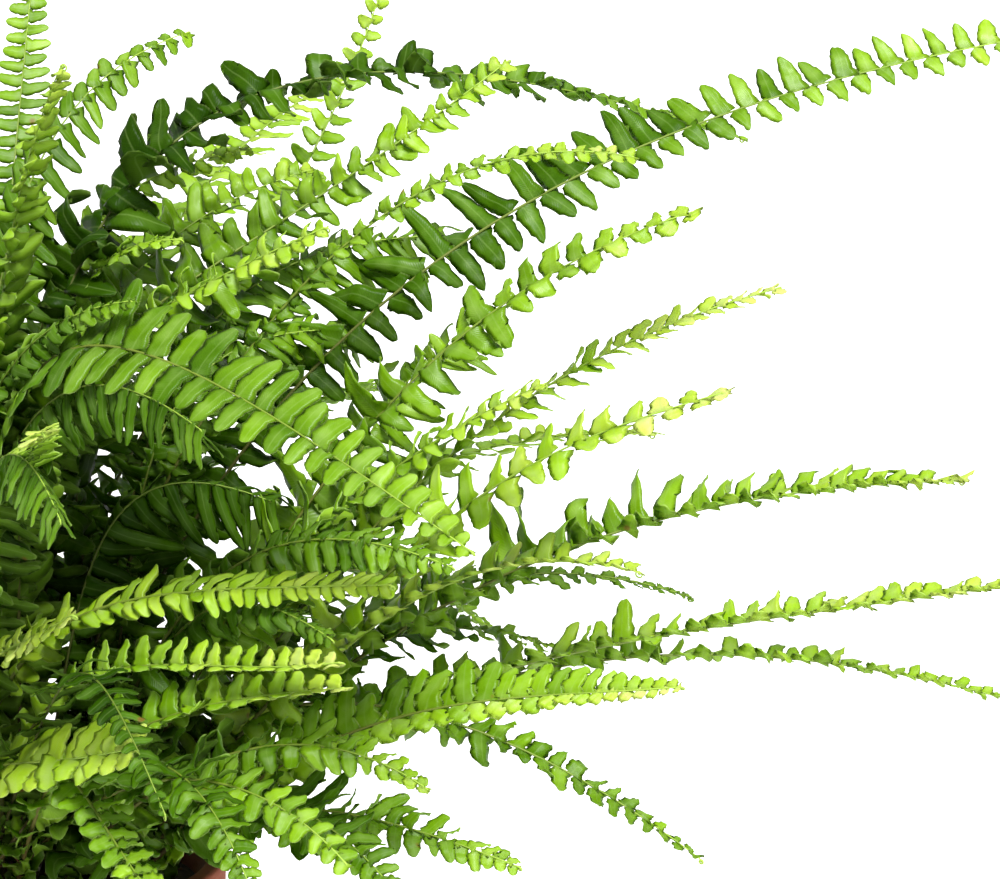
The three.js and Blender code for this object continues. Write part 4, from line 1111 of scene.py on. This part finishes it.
class FERN_OT_scales(bpy.types.Operator):
    """Builds the papery brown scales at the foot of the petioles"""

    bl_idname = "fern.scales"
    bl_label = "Petiole scales"

    def execute(self, context):
        draw = np.random.default_rng(SCALES_SEED)
        sizes = context.scene.fern_sizes
        n = sizes.scale_count
        skin = Skin()
        # Faces of a shell of two rings of three points, turned round to face outwards.
        quads, triangles = (faces[:, ::-1] for faces in tube_faces(2, 3))
        for plant in frond_lines():
            # A scale is a thin three-sided spike that leans out from the petiole, at a random turn
            # about it. They stand closer to the soil by the power 1.6 of a random share of
            # SCALES_REACH.
            s = 1 + SCALES_REACH * draw.random(n) ** 1.6
            point, tangent, side, normal = plant[0][1].stations(s, np.zeros(n))
            turn = 2 * math.pi * draw.random(n)[:, None]
            out = np.cos(turn) * side + np.sin(turn) * normal
            flat = np.cross(tangent, out)
            length = (2.2 + 3.2 * draw.random(n))[:, None]
            grow = unit(tangent + out * (0.5 + 0.7 * draw.random((n, 1))))
            base = point + out * (sizes.rib_radius / MM * 0.8)
            ring = np.stack([flat * 0.45, out * 0.16 - flat * 0.22, -flat * 0.45], 1)
            low = base[:, None] + ring
            high = base[:, None] + ring * 0.7 + (grow * length * 0.55)[:, None]
            ends = np.stack([base - grow * 0.3, base + grow * length], 1)
            points = np.concatenate([low, high, ends], 1)
            each = points.shape[1]
            skin.add(points, repeated(quads, n, each), repeated(triangles, n, each))
        # Papery brown chaff: dry and dull, a little smoother than bark.
        chaff = plain_material("Fern scale, papery", "#8A5A2E", 0.7)
        dress(skin.object("petiole_scales", [chaff]), [])
        return {"FINISHED"}


class FERN_OT_croziers(bpy.types.Operator):
    """Builds the young fronds that are still coiled at the crown"""

    bl_idname = "fern.croziers"
    bl_label = "Croziers"

    def execute(self, context):
        draw = np.random.default_rng(CROZIER_SEED)
        skin = Skin()
        for k in range(CROZIER_COUNT):
            bearing = 360 / CROZIER_COUNT * k + 14 * draw.random()
            r = 14 + 46 * draw.random()
            height = 26 + 46 * draw.random()
            out = heading(bearing, 0)
            root = out * r + UP * (SOIL_TOP - 3)
            # A straight stem, then a spiral of 2.1 turns about a point just outside the stem's top,
            # whose radius shrinks evenly to a little over a quarter.
            t = np.linspace(0, 1, CROZIER_STATIONS)
            stem = np.clip(t / 0.5, 0, 1)
            coil = np.clip((t - 0.5) / 0.5, 0, 1)
            spin = coil * 4.2 * math.pi
            size = CROZIER_COIL_RADIUS * (1 - 0.72 * coil)
            across = np.where(coil > 0, CROZIER_COIL_RADIUS - size * np.cos(spin), 0)
            rise = height * stem + np.where(coil > 0, size * np.sin(spin), 0)
            path = root + out * across[:, None] + UP * rise[:, None]
            tangent = unit(np.gradient(path, axis=0))
            side = np.tile(np.cross(UP, out), (len(t), 1))
            normal = np.cross(tangent, side)
            radius = 1.5 - 0.75 * t
            leaf = np.stack([np.full(len(t), 0.62), np.full(len(t), draw.random()), t], -1)
            tube(skin, path, side, normal, radius, 8, leaf, np.stack([t, 0 * t, 0 * t], -1), 0)
        dress(skin.object("croziers", [rib_material()]), [])
        return {"FINISHED"}


class FERN_OT_stage(bpy.types.Operator):
    """Builds the floor, the lights and the camera at the picture's viewing angle"""

    bl_idname = "fern.stage"
    bl_label = "Stage"

    def execute(self, context):
        light = context.scene.fern_light
        scene = context.scene
        scene.view_settings.view_transform = "Standard"
        mesh = bpy.data.meshes.new("floor")
        turn = np.linspace(0, 2 * math.pi, FLOOR_SIDES + 1)[:-1]
        rim = FLOOR_REACH * np.stack([np.cos(turn), np.sin(turn), 0 * turn], -1)
        mesh.from_pydata(rim.tolist(), [], [list(range(FLOOR_SIDES))])
        # Matte painted board: pale, with hardly a sheen.
        material, node = new_material("Studio floor, matte pale")
        skin = node("BsdfPrincipled", {"Base Color": (*light.floor_colour, 1.0), "Roughness": 0.9,
                                       "Specular IOR Level": 0.1})
        node("OutputMaterial", {"Surface": skin})
        mesh.materials.append(material)
        floor = bpy.data.objects.new("floor", mesh)
        context.collection.objects.link(floor)

        world = bpy.data.worlds.new("Studio")
        scene.world = world
        world.use_nodes = True
        tree = world.node_tree
        tree.nodes.clear()
        sky = add_node(tree, "Background", {"Color": (1, 1, 1, 1), "Strength": light.sky})
        add_node(tree, "OutputWorld", {"Surface": sky})

        lamp = bpy.data.lights.new("key", "SUN")
        lamp.energy = light.key_power
        lamp.angle = light.key_softness
        key = bpy.data.objects.new("key", lamp)
        context.collection.objects.link(key)
        toward = heading(math.degrees(light.key_bearing), math.degrees(light.key_rise))
        aim(key, toward * KEY_DISTANCE, np.zeros(3))

        # The camera looks at the point that the picture's middle shows, above the level of the pot's
        # rim.
        rise = math.radians(CAMERA_RISE)
        target = np.array([
            (PICTURE[0] / 2 - POT_AXIS_PIXEL) / PIXELS_PER_MM, 0,
            POT_HEIGHT + (POT_RIM_PIXEL - PICTURE[1] / 2) / PIXELS_PER_MM / math.cos(rise)]) * MM
        back = np.array([0, -math.cos(rise), math.sin(rise)]) * CAMERA_DISTANCE * MM
        lens = bpy.data.cameras.new("camera")
        lens.sensor_width = SENSOR_WIDTH
        lens.lens = SENSOR_WIDTH * CAMERA_DISTANCE * PIXELS_PER_MM / PICTURE[0]
        lens.clip_end = CAMERA_REACH
        camera = bpy.data.objects.new("camera", lens)
        context.collection.objects.link(camera)
        aim(camera, target + back, target)
        scene.camera = camera
        return {"FINISHED"}


def aim(thing, place, target):
    """Stands a lamp or camera at a place and turns it to look at a target, with the horizon level."""
    look = unit(target - place)
    right = unit(np.cross(look, UP))
    turn = np.eye(4)
    turn[:3, 0], turn[:3, 1], turn[:3, 2], turn[:3, 3] = right, np.cross(right, look), -look, place
    thing.matrix_world = Matrix(turn.tolist())


class FERN_PT_panel(bpy.types.Panel):
    """Lists the fern's pieces and sizes in the sidebar"""

    bl_label = "Potted Fern"
    bl_idname = "FERN_PT_panel"
    bl_space_type = "VIEW_3D"
    bl_region_type = "UI"
    bl_category = "Fern"

    def draw(self, context):
        for operator in STEPS:
            self.layout.operator(operator.bl_idname)
        for group in (context.scene.fern_sizes, context.scene.fern_light):
            for name in group.bl_rna.properties.keys():
                if name not in {"rna_type", "name"}:
                    self.layout.prop(group, name)


STEPS = [FERN_OT_pot, FERN_OT_soil, FERN_OT_fronds, FERN_OT_scales, FERN_OT_croziers, FERN_OT_stage]
CLASSES = [FernSizes, FernLight, *STEPS, FERN_PT_panel]


def register():
    """Registers the add-on's classes and its settings on the scene."""
    for made in CLASSES:
        bpy.utils.register_class(made)
    bpy.types.Scene.fern_sizes = PointerProperty(type=FernSizes)
    bpy.types.Scene.fern_light = PointerProperty(type=FernLight)


def unregister():
    """Removes the settings and the classes."""
    del bpy.types.Scene.fern_light
    del bpy.types.Scene.fern_sizes
    for made in reversed(CLASSES):
        bpy.utils.unregister_class(made)


def main():
    register()
    bpy.ops.fern.pot()
    bpy.ops.fern.soil()
    bpy.ops.fern.fronds()
    bpy.ops.fern.scales()
    bpy.ops.fern.croziers()
    bpy.ops.fern.stage()


if __name__ == "__main__":
    main()
